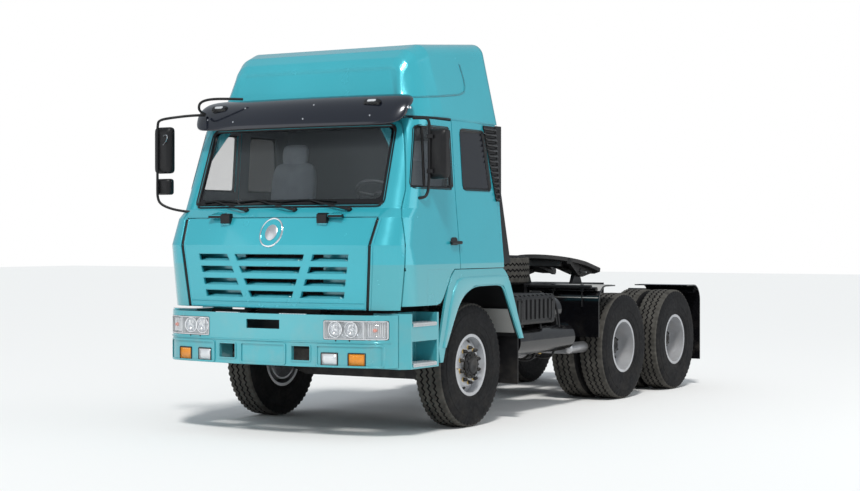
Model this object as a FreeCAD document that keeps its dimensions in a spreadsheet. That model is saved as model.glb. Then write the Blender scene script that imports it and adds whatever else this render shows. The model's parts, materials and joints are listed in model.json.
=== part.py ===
import FreeCAD, Part
import math
import os
import Sketcher

V = FreeCAD.Vector

# Driving dimensions in millimetres and degrees. X is measured from the front axle unless a name says
# otherwise, Z from the ground, and a reach is the distance from the centre plane.
SIZES = {
    # whole vehicle
    "wheelbase": 3150, "bogie_spacing": 1350, "front_overhang": 1535, "rear_overhang": 780,
    "front_track_half": 1010, "twin_centre": 880, "twin_half_gap": 160, "mirror_reach": 1380,
    # tyres, rims and hubs
    "tyre_radius": 545, "tyre_width": 290, "tread_width": 236, "shoulder_drop": 26,
    "widest_radius": 430, "rim_seat_radius": 258, "rim_flange_radius": 298, "bead_half": 110,
    "flange_thick": 12, "rim_wall": 12, "hub_radius": 95, "spindle_radius": 40,
    "spindle_play": 0.05, "drum_radius": 205, "drum_wall": 15, "disc_thick": 15, "disc_ring": 172,
    "front_disc_out": 95, "front_cap_out": 128, "rear_cap_out": 112, "dish_reach": 65,
    # frame
    "rail_reach": 425, "rail_bottom": 760, "rail_height": 270, "rail_flange": 90, "rail_wall": 8,
    "rail_front": 1300, "member_depth": 80, "member_inset": 30, "member_gap": 200, "member_ahead": 350,
    "member_behind": 300, "tail_reach": 960, "tail_low": 790, "tail_high": 880,
    "tail_deep": 60, "tail_lamp_wide": 300, "tail_lamp_thick": 45,
    # cab hull outline: height, half width, nose and corner radius of each level
    "sill_z": 1067, "sill_half": 1225, "sill_nose": 1410, "sill_corner": 300, "crease_z": 1440,
    "crease_half": 1235, "crease_nose": 1447, "crease_corner": 290, "brow_z": 1600,
    "brow_half": 1221, "brow_nose": 1465, "brow_corner": 260, "lid_top_z": 1828,
    "lid_top_half": 1200, "lid_top_nose": 1372, "lid_top_corner": 220, "cowl_z": 1906,
    "cowl_half": 1193, "cowl_nose": 1279, "cowl_corner": 210, "belt_z": 2060, "belt_half": 1180,
    "belt_nose": 1223, "belt_corner": 200, "gutter_z": 2670, "gutter_half": 1140,
    "gutter_nose": 1003, "gutter_corner": 180, "cab_rear": -420, "nose_curve": 5840, "cab_wall": 45,
    "glass_set_in": 15, "glass_thick": 6, "panel_gap": 6, "door_gap": 10, "lid_side_gap": 16,
    # lid, doors and windows
    "lid_low_reach": 902, "lid_high_reach": 975, "lid_thick": 30, "slot_low": 1160,
    "slot_high": 1525, "slot_pitch": 103, "slot_tall": 54, "slot_out_high": 773,
    "slot_out_low": 709, "slot_mid_high": 360, "slot_mid_low": 212, "slot_bar": 83,
    "door_front_low": 1210, "door_front_lid": 1190, "door_front_cowl": 1135,
    "door_front_belt": 1072, "door_front_top": 916, "door_rear": 365, "door_low": 1098,
    "door_heel_x": 740, "door_bend_x": 684, "door_bend_z": 1112, "door_knee_x": 640,
    "door_knee_z": 1152, "door_hip_x": 516, "door_hip_z": 1354, "door_corner_x": 900,
    "door_arch_z": 1396, "door_arch_x": 464, "door_top": 2662, "window_low": 2080,
    "window_high": 2600, "window_front_low": 1042, "window_front_high": 893, "window_rear": 405,
    "quarter_front": 220, "quarter_rear_low": -280, "quarter_rear_high": -200,
    "screen_low_reach": 967, "screen_high_reach": 946, "screen_low": 1935, "screen_high": 2600,
    # hinges of the lid and the doors
    "lid_hinge_x": 1368, "lid_hinge_z": 1843, "lid_hinge_in": 458, "lid_hinge_middle": 546,
    "lid_hinge_out": 687, "lid_pin": 9, "lid_barrel": 16, "hinge_play": 0.05, "door_hinge_x": 1170,
    "door_hinge_y": 1193, "door_hinge_low": 1400, "door_hinge_high": 1600, "door_pin": 6,
    "door_arm": 12, "door_pin_half": 40, "door_notch_half": 12,
    # cab inside
    "bulkhead_x": 1200, "bulkhead_thick": 25, "post_in": 1010, "post_out": 1085, "post_rear": 1200,
    "post_front": 1262, "shelf_low": 1841, "shelf_thick": 22, "floor_low": 1150, "floor_high": 1400,
    "floor_thick": 30, "riser_x": 500, "tunnel_half": 430, "tunnel_top": 1610, "tunnel_wall": 25,
    "floor_reach": 1095, "riser_reach": 1160, "seat_offset": 620, "seat_width": 500,
    "seat_rear": 10, "bunk_front": -30, "bunk_thick": 300, "bunk_half": 1080, "dash_rear": 800,
    "dash_low": 1620, "dash_high": 1935, "dash_half": 1000, "steering_radius": 230,
    "steering_rim": 16, "steering_x": 740, "steering_z": 2010, "steering_tilt": 55,
    "column_radius": 35,
    # cab pivot and rests
    "ear_in": 290, "pivot_x": 1420, "pivot_z": 800, "pivot_radius": 20, "pivot_play": 0.05,
    "arm_reach": 470, "arm_thick": 30, "arm_half": 32, "arm_rear": 1000, "arm_post": 60,
    "rest_play": 0.3, "rest_in": 365, "rest_out": 465, "rest_long": 80,
    # roof, visor, intake stack and mirrors
    "roof_wall": 30, "visor_rear": 780, "stack_rear": -550, "stack_out_high": 1135,
    "stack_in_high": 1030, "stack_low": 1430, "stack_out_low": 1232, "stack_in_low": 1150,
    "stack_shoulder": 2060, "stack_top": 2665, "mirror_tube": 12, "mirror_thick": 45,
    "mirror_head_wide": 190, "mirror_arm": 210, "mirror_left_x": 800, "mirror_left_low": 2155,
    "mirror_left_high": 2566, "mirror_right_x": 1222, "mirror_right_low": 2233,
    "mirror_right_high": 2637, "small_mirror_low": 2045, "small_mirror_high": 2180,
    "mirror_post_y": 1225,
    # bumper, lamps, steps and fenders
    "bumper_low": 600, "bumper_high": 1030, "bumper_wall": 14, "bumper_corner_x": 1430,
    "bumper_corner_y": 966, "bumper_end_x": 1262, "bumper_end_y": 1165, "bumper_curve": 4496,
    "bumper_end_curve": 300, "bumper_flange": 26, "bumper_flange_thick": 12, "lamp_low": 830,
    "lamp_high": 985, "lamp_in": 590, "lamp_out": 1120, "lamp_deep": 120, "fog_low": 612,
    "fog_high": 722, "plate_half": 170, "plate_low": 905, "plate_high": 980, "tow_in": 293,
    "tow_out": 463, "tow_low": 652, "tow_high": 768, "clear_fog_in": 566, "clear_fog_out": 720,
    "amber_fog_in": 806, "amber_fog_out": 960, "fog_deep": 90, "bumper_arm_in": 340,
    "bumper_arm_low": 830, "bumper_arm_high": 970, "step_front": 1252, "step_rear": 736,
    "step_low": 585, "step_high": 1040, "step_reach": 1238, "step_in": 920,
    "step_front_reach": 1165, "step_front_turn": 1180, "upper_tread_z": 935, "lower_tread_z": 605,
    "niche_front": 1160, "niche_rear": 766, "niche_in": 1030, "lower_niche_top": 810,
    "tread_thick": 16, "fender_reach": 1235, "fender_in": 820, "fender_top": 1390,
    "fender_sheet": 22,
    # axles, springs and steering
    "kingpin_reach": 890, "eye_radius": 42, "eye_half": 50, "kingpin_radius": 20, "beam_half": 45,
    "beam_low": 400, "beam_high": 500, "beam_turn": 600, "lug_thick": 36, "lug_gap": 5,
    "web_thick": 18, "arm_back": 220, "arm_tip_y": 830, "arm_low": 450, "steer_arm_thick": 24,
    "steer_arm_wide": 44, "tie_radius": 18, "tie_eye": 28, "tie_gap": 0.3,
    "front_spring_reach": 435, "spring_half": 38, "front_spring_length": 760, "spring_seat": 550,
    "rear_spring_reach": 490, "housing_radius": 72, "diff_radius": 190, "diff_half": 140,
    "nose_radius": 75, "nose_reach": 250, "housing_end": 640, "trunnion_z": 500,
    "trunnion_radius": 55, "shaft_radius": 48, "shaft_z": 645, "spindle_end": 28,
    "rear_spindle_end": 55,
    # engine and cooling
    "engine_front": 1000, "engine_rear": -350, "engine_half": 330, "engine_low": 605,
    "engine_top": 1500, "gearbox_rear": -1150, "gearbox_half": 240, "gearbox_top": 1130,
    "radiator_front": 1160, "radiator_thick": 100, "radiator_low": 720, "radiator_top": 1500,
    "foot_thick": 60, "foot_z": 850,
    # side equipment, X from the front axle
    "battery_front": -800, "battery_rear": -1620, "battery_low": 850, "battery_high": 1120,
    "battery_in": 560, "battery_out": 1150, "tank_radius": 135, "tank_y": 985, "tank_z": 690,
    "tank_front": -960, "tank_rear": -2100, "small_tank_radius": 122, "small_tank_y": 900,
    "small_tank_z": 960, "small_tank_rear": -2000, "fuel_front": -900, "fuel_rear": -2250,
    "fuel_in": 520, "fuel_out": 1170, "fuel_low": 500, "fuel_high": 1010, "fuel_round": 90,
    "silencer_radius": 130, "silencer_y": 600, "silencer_z": 600, "silencer_front": -900,
    "silencer_rear": -1900, "tailpipe_radius": 55, "tailpipe_end": -2530, "tailpipe_y": 1000,
    "tailpipe_z": 565, "strap_wide": 60,
    # spare wheel and its carrier
    "spare_x": -2100, "spare_low": 1190, "carrier_half": 330, "carrier_bar": 70,
    # fifth wheel
    "coupling_ahead": 60, "coupling_half": 450, "coupling_top": 1395, "coupling_plate": 42,
    "coupling_drop": 100, "coupling_tilt": 12, "coupling_axle_z": 1295, "coupling_pin": 30,
    "coupling_ear_reach": 330, "kingpin_hole": 25.4, "mount_plate_low": 1130,
    "mount_plate_high": 1162, "mount_half_length": 480, "mount_reach": 425, "pedestal_thick": 40,
    "skirt_thick": 40,
    # rear mudguards
    "guard_in": 570, "guard_out": 1200, "guard_sheet": 12, "guard_top": 1180, "guard_ahead": 680,
    "guard_low": 665, "guard_bend": 180, "guard_top_run": 210, "guard_tube": 24,
    "tail_guard_top": 1134, "tail_guard_behind": 640, "tail_guard_low": 290,
}


class Size:
    """A number together with the sheet formula that gives it."""

    def __init__(self, value, text):
        self.value = value
        self.text = text

    def __add__(self, other):
        return joined(self, "+", other)

    def __radd__(self, other):
        return joined(other, "+", self)

    def __sub__(self, other):
        return joined(self, "-", other)

    def __rsub__(self, other):
        return joined(other, "-", self)

    def __mul__(self, other):
        return joined(self, "*", other)

    def __rmul__(self, other):
        return joined(other, "*", self)

    def __truediv__(self, other):
        return joined(self, "/", other)

    def __neg__(self):
        return joined(0, "-", self)


def lift(number):
    """A plain number as a Size."""
    if isinstance(number, Size):
        return number
    return Size(float(number), "(%s)" % repr(float(number)))


def joined(left, sign, right):
    """The sum, difference, product or quotient of two sizes."""
    left = lift(left)
    right = lift(right)
    results = {
        "+": lambda: left.value + right.value,
        "-": lambda: left.value - right.value,
        "*": lambda: left.value * right.value,
        "/": lambda: left.value / right.value,
    }
    return Size(results[sign](), "(%s %s %s)" % (left.text, sign, right.text))


def root(size):
    """The square root of a size."""
    return Size(math.sqrt(size.value), "sqrt(%s)" % size.text)


def sine(angle):
    """The sine of an angle in degrees."""
    angle = lift(angle)
    return Size(math.sin(math.radians(angle.value)), "sin(%s * 1 deg)" % angle.text)


def cosine(angle):
    """The cosine of an angle in degrees."""
    angle = lift(angle)
    return Size(math.cos(math.radians(angle.value)), "cos(%s * 1 deg)" % angle.text)


class Sheet:
    """The spreadsheet of driving dimensions: sheet.name is the Size of the cell called name."""

    def __init__(self, document, sizes):
        self.table = document.addObject("Spreadsheet::Sheet", "dim")
        for row, (name, value) in enumerate(sizes.items(), start=1):
            self.table.set("A%d" % row, name)
            self.table.set("B%d" % row, str(value))
            self.table.setAlias("B%d" % row, name)
            setattr(self, name, Size(float(value), "dim.%s" % name))
        document.recompute()


doc = FreeCAD.newDocument("tractor_unit")
d = Sheet(doc, SIZES)
nodes = {}


def bind(thing, prop, size):
    """Bind one property of an object to a formula of the sheet."""
    thing.setExpression(prop, lift(size).text)


def move(thing, x, y, z):
    """Bind the place of an object."""
    bind(thing, "Placement.Base.x", x)
    bind(thing, "Placement.Base.y", y)
    bind(thing, "Placement.Base.z", z)


def block(name, x, y, z):
    """A box between two bounds on each axis."""
    box = doc.addObject("Part::Box", name)
    bind(box, "Length", x[1] - x[0])
    bind(box, "Width", y[1] - y[0])
    bind(box, "Height", z[1] - z[0])
    move(box, x[0], y[0], z[0])
    return box


TURNS = {"X": FreeCAD.Rotation(V(0, 1, 0), 90), "Y": FreeCAD.Rotation(V(1, 0, 0), -90),
         "Z": FreeCAD.Rotation()}


def rod(name, axis, start, length, radius):
    """A cylinder that runs from a point along +X, +Y or +Z."""
    cylinder = doc.addObject("Part::Cylinder", name)
    cylinder.Placement = FreeCAD.Placement(V(), TURNS[axis])
    bind(cylinder, "Radius", radius)
    bind(cylinder, "Height", length)
    move(cylinder, *start)
    return cylinder


def fused(name, parts):
    """One object made of parts that meet."""
    thing = doc.addObject("Part::MultiFuse", name)
    thing.Shapes = parts
    thing.Refine = True
    return thing


def together(name, parts):
    """Like pieces that share a name and don't touch."""
    thing = doc.addObject("Part::Compound", name)
    thing.Links = parts
    return thing


def cut(name, base, tool):
    """A base with a tool taken out."""
    thing = doc.addObject("Part::Cut", name)
    thing.Base = base
    thing.Tool = tool
    return thing


def shared(name, first, second):
    """The space that two objects share."""
    thing = doc.addObject("Part::Common", name)
    thing.Base = first
    thing.Tool = second
    return thing


def mirrored(name, source):
    """The same piece on the other side of the centre plane."""
    thing = doc.addObject("Part::Mirroring", name)
    thing.Source = source
    thing.Base = V(0, 0, 0)
    thing.Normal = V(0, 1, 0)
    return thing


def node(name, thing):
    """Keep an object as the sub-part of that name."""
    thing.Label = name
    nodes[name] = thing
    return thing


def origin_part(body, role):
    """One of a body's own origin planes or axes."""
    return [feature for feature in body.Origin.OriginFeatures if feature.Role == role][0]


def arc_middle(start, end, radius):
    """The middle of the short arc between two points. A positive radius bulges to the right of the way."""
    along = V(end[0] - start[0], end[1] - start[1], 0)
    right = V(along.y, -along.x, 0).normalize()
    reach = abs(radius)
    sagitta = reach - math.sqrt(max(reach * reach - along.Length ** 2 / 4, 0))
    middle = V((start[0] + end[0]) / 2, (start[1] + end[1]) / 2, 0)
    return middle + right * math.copysign(sagitta, radius)


def outline(body, name, plane, offset, points):
    """A closed sketch. A point is (u, v), or (u, v, radius) where an arc leads on to the next point."""
    sketch = body.newObject("Sketcher::SketchObject", name)
    sketch.AttachmentSupport = [(origin_part(body, plane), "")]
    sketch.MapMode = "FlatFace"
    points = [tuple(lift(number) for number in point) for point in points]
    plain = [tuple(number.value for number in point) for point in points]
    count = len(points)
    edges = []
    ends = []
    for index, point in enumerate(plain):
        after = plain[(index + 1) % count]
        start = V(point[0], point[1], 0)
        end = V(after[0], after[1], 0)
        backward = len(point) == 3 and point[2] < 0
        if backward:
            start, end = end, start
        if len(point) == 3:
            edges.append(Part.Arc(start, arc_middle(point, after, point[2]), end))
        else:
            edges.append(Part.LineSegment(start, end))
        ends.append((2, 1) if backward else (1, 2))
    sketch.addGeometry(edges)
    rules = []
    sizes = []
    for index, point in enumerate(points):
        after = (index + 1) % count
        first = ends[index][0]
        rules.append(Sketcher.Constraint("Coincident", index, ends[index][1], after, ends[after][0]))
        sizes.append(None)
        rules.append(Sketcher.Constraint("DistanceX", -1, 1, index, first, point[0].value))
        sizes.append(point[0])
        rules.append(Sketcher.Constraint("DistanceY", -1, 1, index, first, point[1].value))
        sizes.append(point[1])
        if len(point) == 3:
            rules.append(Sketcher.Constraint("Radius", index, abs(point[2].value)))
            sizes.append(point[2] if point[2].value > 0 else -point[2])
    sketch.addConstraint(rules)
    for index, size in enumerate(sizes):
        if size is not None:
            bind(sketch, "Constraints[%d]" % index, size)
    bind(sketch, "AttachmentOffset.Base.z", offset)
    return sketch


def plate(name, plane, points, low, high):
    """An outline on XY, XZ or YZ, made solid between two bounds on the third axis."""
    body = doc.addObject("PartDesign::Body", name)
    offset = -high if plane == "XZ" else low
    sketch = outline(body, name + "_outline", plane + "_Plane", offset, points)
    pad = body.newObject("PartDesign::Pad", name + "_pad")
    pad.Profile = sketch
    bind(pad, "Length", high - low)
    return body


def turned(name, points, place, upright=False):
    """A profile of (radius, Y) turned about an axis along Y, or along Z if upright, set at a place."""
    body = doc.addObject("PartDesign::Body", name)
    sketch = outline(body, name + "_profile", "XY_Plane", lift(0), points)
    revolution = body.newObject("PartDesign::Revolution", name + "_turn")
    revolution.Profile = sketch
    revolution.ReferenceAxis = (sketch, ["V_Axis"])
    revolution.Angle = 360
    if upright:
        body.Placement = FreeCAD.Placement(V(), FreeCAD.Rotation(V(1, 0, 0), 90))
    move(body, *place)
    return body


def lofted(name, plane, sections):
    """A solid through outlines of as many edges, each at its own height along the plane's normal."""
    body = doc.addObject("PartDesign::Body", name)
    sketches = []
    for index, (height, points) in enumerate(sections):
        offset = -height if plane == "XZ" else height
        sketches.append(outline(body, "%s_level_%d" % (name, index), plane + "_Plane", offset, points))
    loft = body.newObject("PartDesign::AdditiveLoft", name + "_loft")
    loft.Profile = sketches[0]
    loft.Sections = sketches[1:]
    loft.Ruled = True
    return body


def both_sides(name, left):
    """A left piece and its mirror image under one name."""
    return together(name, [left, mirrored(name + "_right_half", left)])


# Places along the vehicle. The origin is on the ground, halfway along.
axle = (d.wheelbase + d.bogie_spacing + d.rear_overhang - d.front_overhang) / 2
rear_axle = axle - d.wheelbase
last_axle = rear_axle - d.bogie_spacing
bogie = rear_axle - d.bogie_spacing / 2
tail = last_axle - d.rear_overhang
rail_top = d.rail_bottom + d.rail_height
rail_inside = d.rail_reach - d.rail_wall
tail_bar_front = tail + d.tail_lamp_thick + d.tail_deep
hub_z = d.tyre_radius


# Wheels
def tyre(name, place, upright=False):
    shoulder = d.tyre_radius - d.shoulder_drop
    half = d.tyre_width / 2
    tread = d.tread_width / 2
    profile = [
        (d.rim_seat_radius, -d.bead_half), (d.rim_flange_radius, -d.bead_half), (d.widest_radius, -half),
        (shoulder, -half + d.shoulder_drop / 2), (d.tyre_radius, -tread), (d.tyre_radius, tread),
        (shoulder, half - d.shoulder_drop / 2), (d.widest_radius, half), (d.rim_flange_radius, d.bead_half),
        (d.rim_seat_radius, d.bead_half),
    ]
    return turned(name, profile, place, upright)


def front_rim(name, side, place):
    bore = d.spindle_radius + d.spindle_play
    barrel = d.rim_seat_radius - d.rim_wall
    flange = d.bead_half + d.flange_thick
    drum_in = d.drum_radius - d.drum_wall
    face = d.front_disc_out
    profile = [
        (bore, -50), (d.hub_radius, -50), (d.hub_radius, -10), (drum_in, -10), (drum_in, -flange),
        (d.drum_radius, -flange), (d.drum_radius, 2), (d.hub_radius, 2), (d.hub_radius,
                                                            face - d.disc_thick),
        (d.disc_ring, face - d.disc_thick), (barrel, 25), (barrel, -flange), (d.rim_flange_radius, -flange),
        (d.rim_flange_radius, -d.bead_half), (d.rim_seat_radius, -d.bead_half), (d.rim_seat_radius,
                                                            d.bead_half),
        (d.rim_flange_radius, d.bead_half), (d.rim_flange_radius, flange), (barrel, flange), (barrel, 42),
        (d.disc_ring + 6, face), (d.hub_radius, face), (d.hub_radius, d.front_cap_out), (0,
                                                            d.front_cap_out),
        (0, 30), (bore, 30),
    ]
    return turned(name, [(point[0], side * point[1]) for point in profile], place)


def twin_rims(name, side, place):
    bore = d.spindle_radius + d.spindle_play
    barrel = d.rim_seat_radius - d.rim_wall
    seat = d.rim_seat_radius
    flange = d.rim_flange_radius
    near = d.twin_half_gap - d.bead_half
    far = d.twin_half_gap + d.bead_half
    thick = d.flange_thick
    drum_in = d.drum_radius - d.drum_wall
    half = d.disc_thick - 3
    profile = [
        (bore, -200), (d.hub_radius, -200), (d.hub_radius, -85), (drum_in, -85), (drum_in, -255),
        (d.drum_radius, -255), (d.drum_radius, -70), (d.hub_radius, -70), (d.hub_radius, -half),
        (d.disc_ring, -half), (barrel, -d.dish_reach), (barrel, -far - thick), (flange, -far - thick),
        (flange, -far), (seat, -far), (seat, -near), (flange, -near), (flange, -near + thick),
        (seat, -near + thick), (d.disc_ring + 12, 0), (seat, near - thick), (flange, near - thick),
        (flange, near), (seat, near), (seat, far), (flange, far), (flange, far + thick), (barrel,
                                                            far + thick),
        (barrel, d.dish_reach), (d.disc_ring, half), (d.hub_radius, half), (d.hub_radius, d.rear_cap_out),
        (0, d.rear_cap_out), (0, 60), (bore, 60),
    ]
    return turned(name, [(point[0], side * point[1]) for point in profile], place)


def wheels():
    for word, side in (("left", 1), ("right", -1)):
        place = (axle, side * d.front_track_half, hub_z)
        node("tyre_front_" + word, tyre("tyre_front_" + word, place))
        node("rim_front_" + word, front_rim("rim_front_" + word, side, place))
        for number, x in (("middle", rear_axle), ("rear", last_axle)):
            name = "%s_%s" % (number, word)
            outer = tyre("outer_tyre_" + name, (x, side * (d.twin_centre + d.twin_half_gap), hub_z))
            inner = tyre("inner_tyre_" + name, (x, side * (d.twin_centre - d.twin_half_gap), hub_z))
            node("tyres_" + name, together("tyres_" + name, [outer, inner]))
            node("rims_" + name, twin_rims("rims_" + name, side, (x, side * d.twin_centre, hub_z)))


# Frame
def rail(name):
    reach = d.rail_reach
    wall = d.rail_wall
    low = d.rail_bottom
    inner = reach - d.rail_flange
    section = [
        (reach, low), (reach, rail_top), (inner, rail_top), (inner, rail_top - wall),
        (reach - wall, rail_top - wall), (reach - wall, low + wall), (inner, low + wall), (inner, low),
    ]
    return plate(name, "YZ", section, tail_bar_front, axle + d.rail_front)


def sided(side, near, far):
    """Bounds in Y between two reaches, on the left (side 1) or right (side -1)."""
    return (near, far) if side > 0 else (-far, -near)


def frame():
    node("frame_rails", both_sides("frame_rails", rail("frame_rail")))
    low = d.rail_bottom + d.member_inset
    high = rail_top - d.member_inset
    inside = (-rail_inside, rail_inside)
    pieces = []
    places = (axle + d.gearbox_rear - d.member_gap, rear_axle + d.member_ahead, bogie,
              last_axle - d.member_behind)
    for index, x in enumerate(places):
        pieces.append(block("cross_bar_%d" % index, (x, x + d.member_depth), inside, (low, high)))
    bar_rear = axle + d.rail_front - d.member_depth
    pivot_end = d.arm_reach + d.arm_thick + d.pivot_radius
    pivot = [
        block("front_bar", (bar_rear, bar_rear + d.member_depth), inside, (low, high)),
        rod("pivot_tube", "Y", (axle + d.pivot_x, -pivot_end, d.pivot_z), 2 * pivot_end, d.pivot_radius),
    ]
    for side in (-1, 1):
        bounds = sided(side, d.ear_in, d.ear_in + d.arm_thick)
        pivot.append(block("pivot_ear_%d" % (side + 1), (bar_rear, axle + d.pivot_x + 2 * d.pivot_radius),
                           bounds,
                           (low - d.pivot_radius, d.pivot_z + 3 * d.pivot_radius)))
        rest = (axle + d.cab_rear + d.cab_wall, axle + d.cab_rear + d.cab_wall + d.rest_long)
        pieces.append(block("cab_rest_%d" % (side + 1), rest, sided(side, d.rest_in, d.rest_out),
                            (rail_top, d.floor_high - d.rest_play)))
    pieces.append(fused("cab_pivot", pivot))
    tail_bar = block("tail_bar", (tail_bar_front - d.tail_deep, tail_bar_front), (-d.tail_reach,
                                                            d.tail_reach),
                     (d.tail_low, d.tail_high))
    tail_member = block("tail_member", (tail_bar_front, tail_bar_front + d.member_depth), inside, (low,
                                                            high))
    pieces.append(fused("tail_beam", [tail_bar, tail_member]))
    node("frame_crossmembers", together("frame_crossmembers", pieces))


# Engine, gearbox and cooling, each held by feet against the rails' webs
def feet(name, places, near, z):
    """Short blocks from a unit's side to the inside of each rail."""
    pieces = []
    for index, x in enumerate(places):
        for side in (-1, 1):
            pieces.append(block("%s_foot_%d_%d" % (name, index, side + 1), (x, x + d.foot_thick),
                                sided(side, near, rail_inside), (z, z + d.foot_thick)))
    return pieces


def power_unit():
    engine = block("engine", (axle + d.engine_rear, axle + d.engine_front), (-d.engine_half, d.engine_half),
                   (d.engine_low, d.engine_top))
    gearbox = block("gearbox", (axle + d.gearbox_rear, axle + d.engine_rear), (-d.gearbox_half,
                                                            d.gearbox_half),
                    (d.engine_low, d.gearbox_top))
    places = (axle + d.engine_front - 3 * d.foot_thick, axle + d.engine_rear + d.foot_thick)
    supports = feet("engine", places, d.engine_half - d.foot_thick, d.foot_z)
    node("engine_block", fused("engine_block", [engine, gearbox] + supports))
    core = block("radiator_core", (axle + d.radiator_front - d.radiator_thick, axle + d.radiator_front),
                 (-d.engine_half, d.engine_half), (d.radiator_low, d.radiator_top))
    hangers = feet("radiator", (axle + d.radiator_front - d.radiator_thick,),
                   d.engine_half - d.foot_thick, d.foot_z)
    node("radiator", fused("radiator", [core] + hangers))


# Front axle, steering and springs
def front_axle():
    low = d.beam_low
    high = d.beam_high
    depth = (high - low) * 0.7 / 2
    end = d.kingpin_reach - d.eye_radius / 2
    turn = d.beam_turn
    section = [
        (-end, hub_z - depth), (-turn, low), (turn, low), (end, hub_z - depth), (end, hub_z + depth),
        (turn - d.beam_half, high), (-turn + d.beam_half, high), (-end, hub_z + depth),
    ]
    pieces = [plate("beam", "YZ", section, axle - d.beam_half, axle + d.beam_half)]
    for side in (-1, 1):
        pieces.append(rod("beam_eye_%d" % (side + 1), "Z", (axle, side * d.kingpin_reach,
                                                            hub_z - d.eye_half),
                          2 * d.eye_half, d.eye_radius))
        pin_half = d.eye_half + d.lug_gap + d.lug_thick
        pieces.append(rod("kingpin_%d" % (side + 1), "Z", (axle, side * d.kingpin_reach, hub_z - pin_half),
                          2 * pin_half, d.kingpin_radius))
        pieces.append(block("spring_pad_%d" % (side + 1), (axle - 2 * d.beam_half, axle + 2 * d.beam_half),
                            sided(side, d.front_spring_reach - d.spring_half,
                                  d.front_spring_reach + d.spring_half),
                            (high, d.spring_seat)))
    node("front_axle_beam", fused("front_axle_beam", pieces))


def front_spring():
    length = d.front_spring_length
    seat = 2 * d.beam_half
    hanger = d.rail_bottom
    end_low = hanger - 55
    section = [
        (axle - length, end_low), (axle - seat, d.spring_seat), (axle + seat, d.spring_seat),
        (axle + length, end_low), (axle + length, hanger), (axle + length - seat, hanger),
        (axle + length - seat, hanger - 40), (axle + seat, d.spring_seat + seat),
        (axle - seat, d.spring_seat + seat), (axle - length + seat, hanger - 40), (axle - length + seat,
                                                            hanger),
        (axle - length, hanger),
    ]
    near = d.front_spring_reach - d.spring_half
    spring = plate("front_spring", "XZ", section, near, near + 2 * d.spring_half)
    node("front_springs", both_sides("front_springs", spring))


def knuckle():
    """The left knuckle: a fork round the beam's eye, the spindle and the steering arm."""
    reach = d.kingpin_reach
    web_in = reach + d.eye_radius + d.lug_gap + 1
    web_out = web_in + d.web_thick
    top = d.eye_half + d.lug_gap
    pieces = []
    for word, low in (("upper", hub_z + top), ("lower", hub_z - top - d.lug_thick)):
        pieces.append(rod(word + "_lug", "Z", (axle, reach, low), d.lug_thick, d.eye_radius))
        pieces.append(block(word + "_bridge", (axle - d.eye_radius, axle + d.eye_radius), (reach, web_out),
                            (low, low + d.lug_thick)))
    pieces.append(block("knuckle_web", (axle - d.eye_radius, axle + d.eye_radius), (web_in, web_out),
                        (hub_z - top - d.lug_thick, hub_z + top + d.lug_thick)))
    pieces.append(rod("spindle", "Y", (axle, web_in, hub_z), d.front_track_half + d.spindle_end - web_in,
                      d.spindle_radius))
    arm_top = d.arm_low + d.steer_arm_thick
    half = d.steer_arm_wide / 2
    arm = [
        (axle + half, reach - half), (axle + half, reach + half), (axle - half, reach + half),
        (axle - d.arm_back, d.arm_tip_y + half), (axle - d.arm_back - half, d.arm_tip_y + half),
        (axle - d.arm_back - half, d.arm_tip_y - half), (axle - d.arm_back, d.arm_tip_y - half),
    ]
    pieces.append(plate("steering_arm", "XY", arm, d.arm_low, hub_z - top - d.lug_thick + 6))
    pieces.append(rod("arm_stem", "Z", (axle, reach, d.arm_low), arm_top - d.arm_low, half))
    bore_low = d.arm_low - d.lug_gap
    bore = rod("kingpin_bore", "Z", (axle, reach, bore_low), hub_z + top + 2 * d.lug_thick - bore_low,
               d.kingpin_radius + d.spindle_play)
    return cut("knuckle_left", fused("knuckle_body", pieces), bore)


def steering():
    left = knuckle()
    node("knuckle_left", left)
    node("knuckle_right", mirrored("knuckle_right", left))
    x = axle - d.arm_back
    top = d.arm_low - d.tie_gap
    middle = top - d.tie_radius - 4
    pieces = [rod("tie_tube", "Y", (x, -d.arm_tip_y, middle), 2 * d.arm_tip_y, d.tie_radius)]
    for side in (-1, 1):
        pieces.append(rod("tie_end_%d" % (side + 1), "Z", (x, side * d.arm_tip_y,
                                                           middle - d.tie_radius - 4),
                          2 * d.tie_radius + 8, d.tie_eye))
    node("tie_rod", fused("tie_rod", pieces))


# Rear axles with the shafts that drive them, and the springs on their trunnion
def rear_axles():
    pieces = []
    for word, x in (("middle", rear_axle), ("last", last_axle)):
        spindle = d.twin_centre + d.rear_spindle_end
        pieces.append(rod(word + "_tube", "Y", (x, -d.housing_end, hub_z), 2 * d.housing_end,
                          d.housing_radius))
        pieces.append(rod(word + "_spindles", "Y", (x, -spindle, hub_z), 2 * spindle, d.spindle_radius))
        pieces.append(rod(word + "_gears", "X", (x - d.diff_half, 0, hub_z), 2 * d.diff_half,
                          d.diff_radius))
        pieces.append(rod(word + "_nose", "X", (x, 0, d.shaft_z), d.nose_reach, d.nose_radius))
    pieces.append(rod("long_shaft", "X", (rear_axle, 0, d.shaft_z), d.wheelbase + d.gearbox_rear,
                      d.shaft_radius))
    pieces.append(rod("short_shaft", "X", (last_axle, 0, d.shaft_z), d.bogie_spacing, d.shaft_radius))
    node("rear_axles", fused("rear_axles", pieces))


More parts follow.
